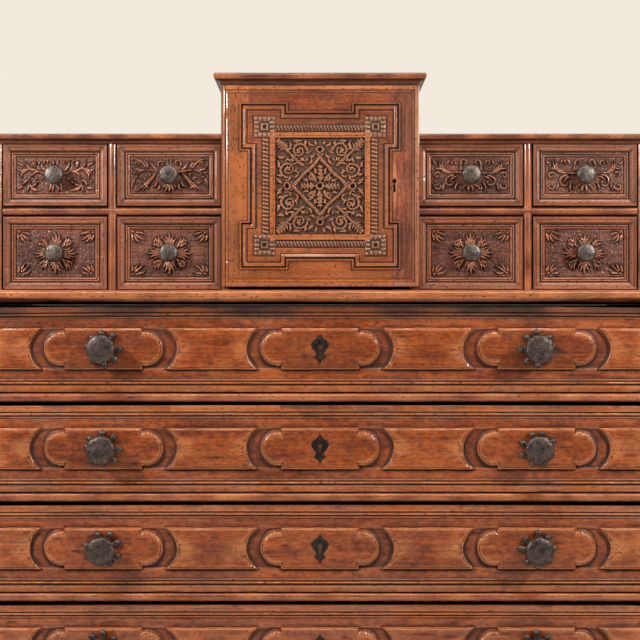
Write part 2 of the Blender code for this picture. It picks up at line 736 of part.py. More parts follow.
def upper_case(walnut, poplar):
    base = LEDGE_Z + FIT
    bank_under = BANK_TOP_Z - FIT
    cornice_under = CORNICE_Z - FIT
    edge = BANK_INSIDE - FIT
    neck = CABINET_HALF
    silhouette = [
        (-edge, base), (edge, base), (edge, bank_under), (neck, bank_under),
        (neck, cornice_under), (-neck, cornice_under), (-neck, bank_under), (-edge, bank_under),
    ]
    depth = (REAR_Y - UPPER_BACK_THICKNESS, REAR_Y)
    back = loft("upper_back", [[(x, y, z) for x, z in silhouette] for y in depth])
    place("upper_back", back, poplar("upper_back"))
    for hand, direction in (("left", -1), ("right", 1)):
        bank_case(hand, direction, walnut)
        name = f"cabinet_{hand}_side"
        outer, inner = direction * CABINET_HALF, direction * (CABINET_HALF - CABINET_SIDE)
        side = box(
            name,
            (min(outer, inner), UPPER_FRONT_Y + FIT, base),
            (max(outer, inner), UPPER_INSIDE_REAR_Y, cornice_under),
        )
        place(name, side, walnut(name))
    cornice = moulded_board(
        "cabinet_cornice",
        (-CABINET_HALF, UPPER_FRONT_Y - DOOR_THICKNESS, CORNICE_Z),
        (CABINET_HALF, REAR_Y),
        cavetto_and_torus(CORNICE_HEIGHT, CORNICE_OVERHANG),
        left=1,
        right=1,
    )
    socket = rod_along_z(
        "pivot_socket",
        HINGE_X,
        HINGE_Y,
        PIVOT_RADIUS + HOLE_CLEARANCE,
        CORNICE_Z - BOOLEAN_LAP,
        CORNICE_Z + PIVOT_IN_CASE + FIT,
    )
    place("cabinet_cornice", cut(cornice, socket), walnut("cabinet_cornice"))


def bank_case(hand, direction, walnut):
    """The end, the top and the divider of the four small drawers on one side."""
    base = LEDGE_Z + FIT
    under = BANK_TOP_Z - FIT
    name = f"bank_{hand}_end"
    x0 = min(direction * BANK_INSIDE, direction * BANK_HALF)
    end = upright_board(
        name, x0, UPPER_FRONT_Y, REAR_Y, base, under, END_THICKNESS, END_THICKNESS
    )
    place(name, end, walnut(name))

    name = f"bank_{hand}_top"
    near, far = direction * (CABINET_HALF + FIT), direction * BANK_HALF
    top = moulded_board(
        name,
        (min(near, far), UPPER_FRONT_Y, BANK_TOP_Z),
        (max(near, far), REAR_Y),
        cavetto_and_torus(BANK_TOP_THICKNESS, BANK_TOP_OVERHANG),
        left=int(direction < 0),
        right=int(direction > 0),
    )
    place(name, top, walnut(name))

    name = f"bank_{hand}_divider"
    near, far = direction * (CABINET_HALF + FIT), direction * (BANK_INSIDE - FIT)
    shelf = shelf_board(
        name, min(near, far), max(near, far), UPPER_FRONT_Y, UPPER_INSIDE_REAR_Y, SHELF_Z,
        SHELF_THICKNESS,
    )
    muntin = upright_board(
        "muntin",
        direction * MUNTIN_X - MUNTIN_THICKNESS / 2,
        UPPER_FRONT_Y,
        UPPER_INSIDE_REAR_Y,
        base,
        under,
        MUNTIN_THICKNESS,
        MUNTIN_THICKNESS,
    )
    place(name, join(shelf, muntin), walnut(name))


def small_drawer_mesh(name, opening, gap_below, gap_above):
    """A small drawer in one piece: its moulded front with a sunk panel, and the tray behind."""
    half_x = COLUMN_OPENING / 2 - SMALL_SIDE_GAP
    half_z = (opening - gap_below - gap_above) / 2
    thirds = [SMALL_PANEL_DEPTH * k / 3 for k in range(4)]
    ease = SMALL_PANEL_DEPTH / 6
    rings = [(0, SMALL_FRONT_THICKNESS), (0, 0), (SMALL_BAND, 0)]
    for k in (1, 2, 3):
        rings.append((SMALL_BAND + (k - 1) * SMALL_STEP + ease, thirds[k]))
        rings.append((SMALL_BAND + k * SMALL_STEP, thirds[k]))
    front = loft(name, framed(half_x, half_z, rings[:-1]))
    bottom = FIT - gap_below - half_z
    height = opening - SMALL_TRAY_DROP
    y0 = SMALL_FRONT_THICKNESS - BOOLEAN_LAP
    block = box("tray_block", (-half_x, y0, bottom), (half_x, SMALL_TRAY_REAR, bottom + height))
    hollow = box(
        "tray_hollow",
        (SMALL_TRAY_WALL - half_x, SMALL_FRONT_THICKNESS, bottom + SMALL_TRAY_FLOOR),
        (half_x - SMALL_TRAY_WALL, SMALL_TRAY_REAR - SMALL_TRAY_WALL, bottom + height + BOOLEAN_LAP),
    )
    bore = rod_along_y(
        "bore",
        0,
        0,
        SMALL_SHANK_RADIUS + HOLE_CLEARANCE,
        -BOOLEAN_LAP,
        SMALL_FRONT_THICKNESS + BOOLEAN_LAP,
    )
    return cut(cut(join(front, block), hollow), bore)


def small_drawers(walnut, iron):
    knob = small_knob_mesh()
    rows = (
        ("upper", UPPER_ROW_Z, UPPER_ROW_OPENING, UPPER_ROW_GAP_BELOW, UPPER_ROW_GAP_ABOVE),
        ("lower", LEDGE_Z, LOWER_ROW_OPENING, LOWER_ROW_GAP_BELOW, LOWER_ROW_GAP_ABOVE),
    )
    inner = CABINET_HALF + COLUMN_OPENING / 2
    outer = inner + COLUMN_OPENING + MUNTIN_THICKNESS
    for row, base, opening, below, above in rows:
        mesh = small_drawer_mesh(f"{row}_drawer", opening, below, above)
        z = base + below + (opening - below - above) / 2
        for column, x in enumerate((-outer, -inner, inner, outer), 1):
            name = f"{row}_drawer_{column}"
            slide = axis_empty(name + "_slide", (x, UPPER_FRONT_Y, z))
            place(name, mesh.copy(), walnut(name), parent=slide)
            seat = (0, SMALL_PANEL_DEPTH - FIT, 0)
            place(name + "_knob", knob.copy(), iron(name + "_knob"), seat, slide)


# Cupboard door


def lug_outline(inset):
    """The eared outline of the door's frame moulding: straight runs with a lug at each corner."""
    a, b = LUG_STRAIGHT_WIDTH / 2, LUG_STRAIGHT_HEIGHT / 2
    ear_x, ear_z = a + LUG_PROJECTION, b + LUG_PROJECTION
    from_x, from_z = ear_x - LUG_LENGTH, ear_z - LUG_LENGTH
    quarter = [
        (a - inset, from_z + inset),
        (ear_x - inset, from_z + inset),
        (ear_x - inset, ear_z - inset),
        (from_x + inset, ear_z - inset),
        (from_x + inset, b - inset),
    ]
    mirrored = [(-x, z) for x, z in reversed(quarter)]
    upper = [*quarter, *mirrored]
    return [*upper, *[(-x, -z) for x, z in upper]]


def raised_bar(bm, x0, x1, z0, z1, ground, rise):
    """A low bar on the door's ground with sloped sides; returns the loop at its foot."""
    slope = rise / 2
    rows = rows_of(bm, [
        rectangle(x0, x1, z0, z1, ground),
        rectangle(x0 + slope, x1 - slope, z0 + slope, z1 - slope, ground - rise),
    ])
    bridge(bm, rows)
    fill(bm, rows[-1])
    return rows[0]


def rope_strips(bm, ground):
    """The strips of rope moulding that run round the panel between the corner blocks."""
    line_x = PANEL_WIDTH / 2 + ROPE_TO_PANEL + ROPE_WIDTH / 2
    line_z = PANEL_HEIGHT / 2 + ROPE_TO_PANEL + ROPE_WIDTH / 2
    reach_x, reach_z = PANEL_WIDTH / 2, PANEL_HEIGHT / 2
    half = ROPE_WIDTH / 2
    feet = []
    for side in (-1, 1):
        x, z = side * line_x, side * line_z
        feet.append(raised_bar(bm, x - half, x + half, -reach_z, reach_z, ground, ROPE_RISE))
        feet.append(raised_bar(bm, -reach_x, reach_x, z - half, z + half, ground, ROPE_RISE))
    return feet


def corner_blocks(frame, centre_x, ground):
    """The frame with a square block over each corner of the panel's border."""
    near_x, near_z = PANEL_WIDTH / 2 + FIT, PANEL_HEIGHT / 2 + FIT
    top, root = ground - CORNER_BLOCK_RISE, ground + BOOLEAN_LAP
    for side in (-1, 1):
        for level in (-1, 1):
            loops = []
            for inset, y in ((0, root), (0, top + CORNER_BLOCK_RISE / 3), (CORNER_BLOCK_RISE / 3, top)):
                xs = [side * (near_x + inset), side * (near_x + CORNER_BLOCK - inset)]
                zs = [level * (near_z + inset), level * (near_z + CORNER_BLOCK - inset)]
                loops.append(rectangle(
                    centre_x + min(xs), centre_x + max(xs), min(zs), max(zs), y
                ))
            frame = join(frame, loft("corner_block", loops))
    return frame


def door_frame_mesh(centre_x, half_x, half_z):
    """The door's frame about its own middle: round hinge edge, eared moulding, rebate for the panel."""
    nose = DOOR_THICKNESS / 2
    front, back = -nose, nose
    hinge = -half_x
    bm = bmesh.new()
    opening_x, opening_z = PANEL_WIDTH / 2, PANEL_HEIGHT / 2
    rebate_x, rebate_z = opening_x + PANEL_REBATE, opening_z + PANEL_REBATE
    lip = front + INNER_GROUND_DEPTH - PANEL_FRAME_RISE + PANEL_LIP
    loops = [
        rectangle(-rebate_x, rebate_x, -rebate_z, rebate_z, back),
    ]
    for k in range(BEAD_STEPS + 1):
        turn = pi * k / BEAD_STEPS
        loops.append(rectangle(
            hinge + nose - nose * sin(turn), half_x, -half_z, half_z, nose * cos(turn)
        ))
    inner_edge = hinge + nose
    ground = front + DOOR_GROUND_DEPTH
    for inset, depth in ((DOOR_EDGE * 0.45, 0), (DOOR_EDGE * 0.5, 0.75), (DOOR_EDGE * 0.55, 0.25),
                         (DOOR_EDGE * 0.9, 0.25), (DOOR_EDGE, 1)):
        loops.append(rectangle(
            inner_edge + inset, half_x - inset, inset - half_z, half_z - inset,
            front + depth * DOOR_GROUND_DEPTH,
        ))
    outer_rows = rows_of(bm, loops)
    bridge(bm, outer_rows)

    inner_ground = front + INNER_GROUND_DEPTH
    steps = ((0, ground), (0.1, front), (0.3, front), (0.36, ground), (0.42, front + nose / 8),
             (0.75, front + nose / 4), (1, inner_ground))
    lug_rows = rows_of(bm, [
        [(x, y, z) for x, z in lug_outline(LUG_MOULDING * share)] for share, y in steps
    ])
    bridge(bm, lug_rows)
    fill(bm, outer_rows[-1], [lug_rows[0]])

    frame_x, frame_z = opening_x + PANEL_FRAME, opening_z + PANEL_FRAME
    raised = inner_ground - PANEL_FRAME_RISE
    slope = PANEL_FRAME_RISE / 2
    inner_rows = rows_of(bm, [
        rectangle(-frame_x, frame_x, -frame_z, frame_z, inner_ground),
        rectangle(slope - frame_x, frame_x - slope, slope - frame_z, frame_z - slope, raised),
        rectangle(-opening_x, opening_x, -opening_z, opening_z, raised),
        rectangle(-opening_x, opening_x, -opening_z, opening_z, lip),
        rectangle(-rebate_x, rebate_x, -rebate_z, rebate_z, lip),
    ])
    bridge(bm, inner_rows)
    bridge(bm, [inner_rows[-1], outer_rows[0]])
    fill(bm, lug_rows[-1], [inner_rows[0], *rope_strips(bm, inner_ground)])
    bmesh.ops.translate(bm, vec=Vector((centre_x, 0, 0)), verts=bm.verts)
    return corner_blocks(closed_mesh("door_frame", bm), centre_x, inner_ground)


def door(walnut, iron):
    bottom = LEDGE_Z + DOOR_GAP_BELOW
    top = CORNICE_Z - DOOR_GAP_ABOVE
    half_x, half_z = CABINET_HALF, (top - bottom) / 2
    centre_x = -HINGE_X
    swing = axis_empty("door_hinge", (HINGE_X, HINGE_Y, (bottom + top) / 2))
    nose = DOOR_THICKNESS / 2
    frame = door_frame_mesh(centre_x, half_x, half_z)

    raised = -nose + INNER_GROUND_DEPTH - PANEL_FRAME_RISE
    panel_front = raised + PANEL_LIP + FIT
    panel_x, panel_z = PANEL_WIDTH / 2 + PANEL_REBATE - FIT, PANEL_HEIGHT / 2 + PANEL_REBATE - FIT
    field_x, field_z = PANEL_WIDTH / 2 - FIT, PANEL_HEIGHT / 2 - FIT
    rings = [
        (panel_x, panel_z, panel_front + PANEL_THICKNESS),
        (panel_x, panel_z, panel_front),
        (field_x, field_z, panel_front),
        (field_x, field_z, panel_front - PANEL_LIP / 3),
    ]
    panel = loft("door_panel", [
        rectangle(centre_x - a, centre_x + a, -b, b, y) for a, b, y in rings
    ])

    key_x = centre_x + half_x - DOOR_KEYHOLE_FROM_EDGE
    keyed = frame
    for tool in (
        rod_along_y("key_bore", key_x, 0, KEY_PIPE_RADIUS + HOLE_CLEARANCE, -2 * nose, 2 * nose),
        rod_along_z("upper_bore", 0, 0, PIVOT_RADIUS + FIT, half_z - PIVOT_IN_DOOR - FIT, half_z + nose),
        rod_along_z("lower_bore", 0, 0, PIVOT_RADIUS + FIT, -half_z - nose, PIVOT_IN_DOOR + FIT - half_z),
    ):
        keyed = cut(keyed, tool)
    keyed.name = "door_frame"
    place("door_frame", keyed, walnut("door_frame"), parent=swing)
    place("door_panel", panel, walnut("door_panel"), parent=swing)

    upper = rod_along_z(
        "door_pivot_upper", 0, 0, PIVOT_RADIUS, half_z - PIVOT_IN_DOOR,
        half_z + DOOR_GAP_ABOVE + PIVOT_IN_CASE,
    )
    lower = rod_along_z(
        "door_pivot_lower", 0, 0, PIVOT_RADIUS, -half_z - DOOR_GAP_BELOW - PIVOT_IN_CASE,
        PIVOT_IN_DOOR - half_z,
    )
    place("door_pivot_upper", upper, iron("door_pivot_upper"), parent=swing)
    place("door_pivot_lower", lower, iron("door_pivot_lower"), parent=swing)

    inside = nose + FIT
    pipe_front = DOOR_GROUND_DEPTH + FIT - nose
    pipe = rod_along_y("door_lock", 0, 0, KEY_PIPE_RADIUS, pipe_front, inside + LOCK_DEPTH / 2)
    case = box(
        "door_lock_case",
        (-DOOR_LOCK_WIDTH / 2, inside, -DOOR_LOCK_HEIGHT / 2),
        (DOOR_LOCK_WIDTH / 2, inside + LOCK_DEPTH, DOOR_LOCK_HEIGHT / 2),
    )
    lock = cut(join(pipe, case), keyhole(pipe_front - BOOLEAN_LAP, inside))
    place("door_lock", lock, iron("door_lock"), (key_x, 0, 0), swing)


def build():
    for old in list(bpy.data.objects):
        bpy.data.objects.remove(old)

    def walnut(name):
        return material(name + "_walnut", (0.30, 0.115, 0.048), 0.45, 0.0)

    def poplar(name):
        return material(name + "_poplar", (0.42, 0.27, 0.14), 0.70, 0.0)

    def iron(name):
        return material(name + "_iron", (0.085, 0.075, 0.068), 0.48, 0.85)

    lower_case(walnut, poplar)
    long_drawers(walnut, poplar, iron)
    upper_case(walnut, poplar)
    small_drawers(walnut, iron)
    door(walnut, iron)


build()
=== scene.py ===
"""A walnut chest of four long drawers with an upper stage: its carving, mouldings, ironwork and finishes.

Metres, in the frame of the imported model: the front faces -Y and the floor is Z = 0.
"""

from math import atan, pi, tau

import bpy
import numpy as np
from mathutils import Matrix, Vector


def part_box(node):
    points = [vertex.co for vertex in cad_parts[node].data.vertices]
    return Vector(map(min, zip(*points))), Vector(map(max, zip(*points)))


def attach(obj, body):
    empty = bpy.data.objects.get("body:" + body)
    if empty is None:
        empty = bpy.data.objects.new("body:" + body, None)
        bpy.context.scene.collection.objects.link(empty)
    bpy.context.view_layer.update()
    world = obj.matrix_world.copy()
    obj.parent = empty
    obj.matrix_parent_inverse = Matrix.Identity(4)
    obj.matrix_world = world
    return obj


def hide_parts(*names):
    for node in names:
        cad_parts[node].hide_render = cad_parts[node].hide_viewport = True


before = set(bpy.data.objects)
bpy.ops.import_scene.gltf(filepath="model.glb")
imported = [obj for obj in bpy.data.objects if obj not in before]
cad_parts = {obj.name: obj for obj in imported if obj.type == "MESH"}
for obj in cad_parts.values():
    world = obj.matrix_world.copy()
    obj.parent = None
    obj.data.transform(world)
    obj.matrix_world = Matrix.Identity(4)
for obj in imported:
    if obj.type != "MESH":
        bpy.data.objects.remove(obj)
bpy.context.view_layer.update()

# The room: a pale floor, a cream surround, and a viewer squarely before the chest at ledge height.
# Two lamps stand high to the left and right, so that each side of the chest is lit from its own end, and a
# long strip lamp hangs in front and above.
VIEW_DISTANCE = 3.0
VIEW_BELOW_LEDGE = 0.060
SEEN_WIDTH = 1.28
AIM_BELOW_LEDGE = 0.05
WARM = (1.0, 0.94, 0.86)
LAMPS = (
    ("lamp_left", (-1.50, -1.02, 0.78), (0.24, 0.24), 29.0),
    ("lamp_right", (1.52, -0.98, 0.74), (0.24, 0.24), 26.0),
    ("lamp_over", (0.0, -0.85, 1.55), (2.6, 0.16), 17.0),
)
WALL = (0.888, 0.823, 0.723, 1)
ROOM = (0.070, 0.064, 0.059, 1)
CEILING = (0.62, 0.58, 0.53, 1)
CORNERS = ((-1, -1), (1, -1), (1, 1), (-1, 1))
FLOOR_HALF = 9
FLOOR_COLOUR = (0.72, 0.68, 0.62, 1)
FLOOR_ROUGHNESS = 0.8
ledge_low, ledge_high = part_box("case_top")
face_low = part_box("long_drawer_1_front")[0]

view = bpy.data.cameras.new("view")
view.angle = 2 * atan(SEEN_WIDTH / 2 / VIEW_DISTANCE)
viewer = bpy.data.objects.new("view", view)
viewer.location = (0, face_low.y - VIEW_DISTANCE, ledge_high.z - VIEW_BELOW_LEDGE)
viewer.rotation_euler = (pi / 2, 0, 0)
bpy.context.scene.collection.objects.link(viewer)
bpy.context.scene.camera = viewer
bpy.context.scene.view_settings.view_transform = "Standard"


def softbox(name, place, aim, size, power, colour):
    """A lamp of a width and height at a place, turned to face the point that it is aimed at."""
    lamp = bpy.data.lights.new(name, "AREA")
    lamp.shape = "RECTANGLE"
    lamp.size, lamp.size_y = size
    lamp.energy = power
    lamp.color = colour
    stand = bpy.data.objects.new(name, lamp)
    stand.location = place
    stand.rotation_euler = (Vector(aim) - Vector(place)).to_track_quat("-Z", "Y").to_euler()
    stand.visible_camera = False
    bpy.context.scene.collection.objects.link(stand)


aim = Vector((0, face_low.y, ledge_high.z - AIM_BELOW_LEDGE))
for name, place, size, power in LAMPS:
    softbox(name, aim + Vector(place), aim, size, power, WARM)


class Shade:
    """A socket of a finish; arithmetic with it adds Math nodes, and node() adds any other."""

    def __init__(self, tree, socket=None):
        self.tree = tree
        self.socket = socket

    def node(self, kind, settings, sockets, out=0):
        """A node with its settings, then its sockets' values or links, as the Shade of one output."""
        made = self.tree.nodes.new("ShaderNode" + kind)
        for key, value in settings.items():
            if key == "stops":
                stops = made.color_ramp.elements
                while len(stops) < len(value):
                    stops.new(0.5)
                for stop, (place, colour) in zip(stops, value):
                    stop.position = place
                    stop.color = (*colour, 1)
            else:
                setattr(made, key, value)
        for key, value in sockets.items():
            if isinstance(value, Shade):
                self.tree.links.new(value.socket, made.inputs[key])
            else:
                made.inputs[key].default_value = value
        return Shade(self.tree, made.outputs[out])

    def feed(self, socket):
        """Link this to a socket of the finish."""
        self.tree.links.new(self.socket, socket)

    def math(self, operation, *values):
        """A Math node on two values."""
        return self.node("Math", {"operation": operation}, dict(enumerate(values)))

    def clamp(self):
        """This value kept between 0 and 1."""
        return self.node("Math", {"operation": "ADD", "use_clamp": True}, {0: self, 1: 0.0})

    def __add__(self, other):
        return self.math("ADD", self, other)

    def __sub__(self, other):
        return self.math("SUBTRACT", self, other)

    def __rsub__(self, other):
        return self.math("SUBTRACT", other, self)

    def __mul__(self, other):
        return self.math("MULTIPLY", self, other)

    __radd__ = __add__
    __rmul__ = __mul__

    def stretched(self, along, across, through):
        """This vector with its three parts scaled."""
        return self.node("VectorMath", {"operation": "MULTIPLY"}, {0: self, 1: (along, across, through)})

    def noise(self, scale, detail, roughness, distortion=0.0):
        """Fractal noise of this vector, about one half."""
        return self.node("TexNoise", {}, {
            "Vector": self, "Scale": scale, "Detail": detail, "Roughness": roughness,
            "Distortion": distortion,
        })

    def mixed(self, first, second):
        """The blend from one colour to another by this factor."""
        return self.node("Mix", {"data_type": "RGBA"}, {0: self, 6: first, 7: second}, out=2)

    def above(self, edge, width):
        """0 below an edge and 1 above it, over a width."""
        return ((self - edge) * (1 / width)).clamp()


surround = bpy.data.worlds.new("surround")
surround.use_nodes = True
sky = Shade(surround.node_tree)
outward = sky.node("TexCoord", {}, {}, out="Generated")
behind = sky.node("SeparateXYZ", {}, {0: outward}, out="Y").above(0.25, 0.45)
overhead = sky.node("SeparateXYZ", {}, {0: outward}, out="Z").above(0.55, 0.40)
backdrop = behind.mixed(overhead.mixed(ROOM, CEILING), WALL)
backdrop.feed(surround.node_tree.nodes["Background"].inputs["Color"])
bpy.context.scene.world = surround


def bare_finish(name):
    """A new material, and the sockets of its shader."""
    finish = bpy.data.materials.new(name)
    finish.use_nodes = True
    return finish, finish.node_tree.nodes["Principled BSDF"].inputs


pale_floor, floor_sockets = bare_finish("pale_floor")
floor_sockets["Base Color"].default_value = FLOOR_COLOUR
floor_sockets["Roughness"].default_value = FLOOR_ROUGHNESS
ground_mesh = bpy.data.meshes.new("floor")
ground_mesh.from_pydata([(x * FLOOR_HALF, y * FLOOR_HALF, 0) for x, y in CORNERS], [], [(0, 1, 2, 3)])
ground_mesh.materials.append(pale_floor)
ground = bpy.data.objects.new("floor", ground_mesh)
bpy.context.scene.collection.objects.link(ground)


# The plinth: a walnut moulding mitred round the front and the two ends, sawn into ogee bracket feet below,
# and nailed to the case. Its sizes are those of the solid that it stands for.
PLINTH_THICKNESS = 0.020
PLINTH_MOULDING = 0.034
PLINTH_LIP = 0.004
PLINTH_ARRIS = 0.0015
PLINTH_SHARES = (0, 0.01, 0.3, 0.65, 1.0)
GRIMY_BELOW = 0.012
RUBBED_ABOVE = 0.0185
DIRT_HEIGHT = 0.03
FOOT_WIDTH = 0.150
FOOT_HEIGHT = 0.074
FOOT_OGEE = 0.070
MARKS = ("hollow", "worn", "dull")
WALNUT_COLOURS = (
    (0.34, (0.092, 0.0155, 0.0033)), (0.48, (0.236, 0.043, 0.0063)), (0.62, (0.410, 0.094, 0.0160)))
# Grime colour, which also paints shade where a piece's hollow mark stands for it.
GRIME_AND_SHADE = (0.022, 0.009, 0.006, 1)
# Rubbed colour, which also paints highlights where a piece's worn mark stands for them.
RUBBED_AND_LIT = (0.56, 0.195, 0.068, 1)
WORM_HOLE = (0.012, 0.007, 0.005, 1)


def wood_finish(name, coordinates, colours, grime, rubbed, figure_scale, dry, wax):
    """Waxed old wood: long noise along the grain for figure and streaks, finer noise for pores and pits.

    The piece's marks say where it has changed, and where light and shade are painted on: hollow brings
    grime, and painted shade where a piece sets it in recesses, creases and undersides; worn rubs the colour
    light, and paints highlights where a piece sets it for them; dull fades it and takes the wax off.
    Scratches along the grain hold grime wherever it is worn or dull.
    Coordinates are "grain", or for a solid without marks the turn of its grain, with noise for the marks.
    """
    finish, sockets = bare_finish(name)
    start = Shade(finish.node_tree)
    if coordinates == "grain":
        grain = start.node("Attribute", {"attribute_name": "grain"}, {}, out="Vector")
        hollow, worn, dull = [
            start.node("Attribute", {"attribute_name": mark}, {}, out="Fac") for mark in MARKS]
    else:
        place = start.node("TexCoord", {}, {}, out="Object")
        grain = start.node("Mapping", {}, {"Vector": place, "Rotation": coordinates})
        hollow = grain.noise(5.0, 3.0, 0.5).above(0.62, 0.3)
        worn = grain.noise(9.0, 2.0, 0.5).above(0.66, 0.3)
        dull = grain.noise(3.0, 2.0, 0.5).above(0.5, 0.4)
    figure = grain.stretched(figure_scale, 13 * figure_scale, 13 * figure_scale).noise(1.0, 4.0, 0.55, 0.9)
    streak = grain.stretched(9, 190, 190).noise(1.0, 3.0, 0.6, 0.3)
    fleck = grain.stretched(95, 210, 210).noise(1.0, 4.0, 0.7)
    pores = grain.stretched(60, 640, 640).noise(1.0, 2.0, 0.6)
    mottle = grain.stretched(7, 11, 11).noise(1.0, 5.0, 0.6, 0.4)
    stain = grain.stretched(2.3, 5, 5).noise(1.0, 4.0, 0.6, 0.7)
    tone = figure * 0.42 + streak * 0.26 + mottle * 0.34 + fleck * 0.62 - 0.32
    colour = tone.node("ValToRGB", {"stops": colours}, {0: tone})
    pore = pores.above(0.56, 0.12)
    pit = grain.stretched(130, 260, 260).noise(1.0, 3.0, 0.65).above(0.58, 0.05)
    smudge = stain.above(0.56, 0.22)
    scratch = grain.stretched(5, 430, 430).noise(1.0, 3.0, 0.55, 0.2).above(0.56, 0.08)
    colour = (pore * 0.40).mixed(colour, grime)
    colour = (smudge * 0.18).mixed(colour, grime)
    bored = grain.node("TexVoronoi", {}, {"Vector": grain, "Scale": 52.0}, out="Distance")
    chosen = grain.node("TexVoronoi", {}, {"Vector": grain, "Scale": 52.0}, out="Color")
    few = chosen.node("SeparateColor", {}, {0: chosen}).above(0.80, 0.02)
    worm = (1 - bored.above(0.045, 0.02)) * few
    # Worn: wear, and painted highlights where the piece sets them.
    colour = (worn * (0.24 + mottle * 0.8)).clamp().mixed(colour, rubbed)
    faded = colour.node("HueSaturation", {}, {"Saturation": 0.62, "Value": 0.78, "Color": colour})
    colour = dull.mixed(colour, faded)
    colour = (pit * (0.12 + worn * 0.7)).clamp().mixed(colour, grime)
    colour = (scratch * (0.16 + worn * 0.34 + dull * 0.50)).clamp().mixed(colour, grime)
    # Hollow: grime, and painted shade where the piece sets it.
    colour = (hollow * (0.30 + mottle * 0.5 + stain * 0.7)).clamp().mixed(colour, grime)
    colour = (worm * 0.9).mixed(colour, WORM_HOLE)
    rough = (dry + mottle * 0.18 + hollow * 0.30 - worn * 0.10 + pore * 0.08).clamp()
    height = streak * 0.30 - pore * 0.55 - worm * 2.0 + mottle * 0.5
    bump = height.node("Bump", {}, {"Strength": 0.32, "Distance": 0.0008, "Height": height})
    driven = {"Base Color": colour, "Roughness": rough, "Normal": bump}
    if wax:
        driven["Coat Weight"] = (1 - hollow * 1.6 - dull * 0.8).clamp() * wax
    for socket, value in driven.items():
        value.feed(sockets[socket])
    sockets["Specular IOR Level"].default_value = 0.42
    sockets["Coat Roughness"].default_value = 0.16
    return finish


walnut = wood_finish("walnut", "grain", WALNUT_COLOURS, GRIME_AND_SHADE, RUBBED_AND_LIT, 2.6, 0.27, 1.0)


def wander(points, pitch, seed):
    """Slow unevenness of hand work: seven sines of random direction and length, summed, about one high."""
    chance = np.random.default_rng(seed)
    ways = chance.normal(size=(7, points.shape[-1]))
    ways /= np.linalg.norm(ways, axis=1)[:, None]
    ways *= tau / pitch * chance.uniform(0.5, 1.7, 7)[:, None]
    return np.sin(points @ ways.T + chance.uniform(0, tau, 7)).sum(-1) / 3.2


def along_grain(points, axis, seed):
    """Wood coordinates: along the board's length first, then across it, from a random place in the log."""
    turned = np.roll(points, -"xyz".index(axis), axis=1)
    return turned + np.random.default_rng(seed).uniform(-4, 4, 3)


def shell(points, quads, caps, grain, hollow=0.0, worn=0.0):
    """A closed skin of quads and flat caps, turned so that its volume is above zero.

    The volume is the sum of the tetrahedra from the origin to each quad's two triangles and each cap's fan.
    """
    fans = [np.array([[cap[0], a, b, b] for a, b in zip(cap[1:], cap[2:])]) for cap in caps]
    a, b, c, d = points[np.concatenate([quads, *fans]).T]
    volume = (np.cross(a, b) * c).sum() + (np.cross(a, c) * d).sum()
    step = 1 if volume > 0 else -1
    faces = quads[:, ::step].tolist() + [list(cap)[::step] for cap in caps]
    fill = np.ones(len(points))
    marks = {"hollow": fill * hollow, "worn": fill * worn, "dull": fill * 0.0}
    return {"points": points, "faces": faces, "grain": grain, **marks}


def piece(name, shells, body, finish, stands_for=(), crease=0.75):
    """One finished object made of shells, riding on a body of the model."""
    faces = []
    count = 0
    for part in shells:
        faces += [[k + count for k in face] for face in part["faces"]]
        count += len(part["points"])
    gathered = {key: np.concatenate([part[key] for part in shells]) for key in shells[0] if key != "faces"}
    mesh = bpy.data.meshes.new(name)
    mesh.from_pydata(gathered["points"].tolist(), [], faces)
    grain = mesh.attributes.new("grain", "FLOAT_VECTOR", "POINT")
    grain.data.foreach_set("vector", gathered["grain"].ravel())
    for mark in MARKS:
        values = gathered[mark].clip(0, 1).astype(np.float32)
        mesh.attributes.new(mark, "FLOAT", "POINT").data.foreach_set("value", values)
    mesh.shade_smooth()
    mesh.set_sharp_from_angle(angle=crease)
    mesh.materials.append(finish)
    made = bpy.data.objects.new(name, mesh)
    bpy.context.scene.collection.objects.link(made)
    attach(made, body)
    if stands_for:
        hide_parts(*stands_for)


def lattice(rows, columns, wrap=True, loop=False):
    """Quads between rows of points; wrap joins the last column to the first, and loop the last row."""
    r, c = np.meshgrid(np.arange(rows - (not loop)), np.arange(columns - (not wrap)), indexing="ij")
    n, m = (c + 1) % columns, (r + 1) % rows
    corners = (r * columns + c, r * columns + n, m * columns + n, m * columns + c)
    return np.stack(corners, -1).reshape(-1, 4)


def end_caps(rows, columns):
    """The first and the last row of a lattice, as two flat faces."""
    return list(range(columns)), list(range((rows - 1) * columns, rows * columns))


def rising_foot(distance):
    """Height of the sawn edge at a distance past the foot: half a cosine wave up to the foot's height."""
    return FOOT_HEIGHT * (1 - np.cos(pi * np.clip(distance / FOOT_OGEE, 0, 1))) / 2


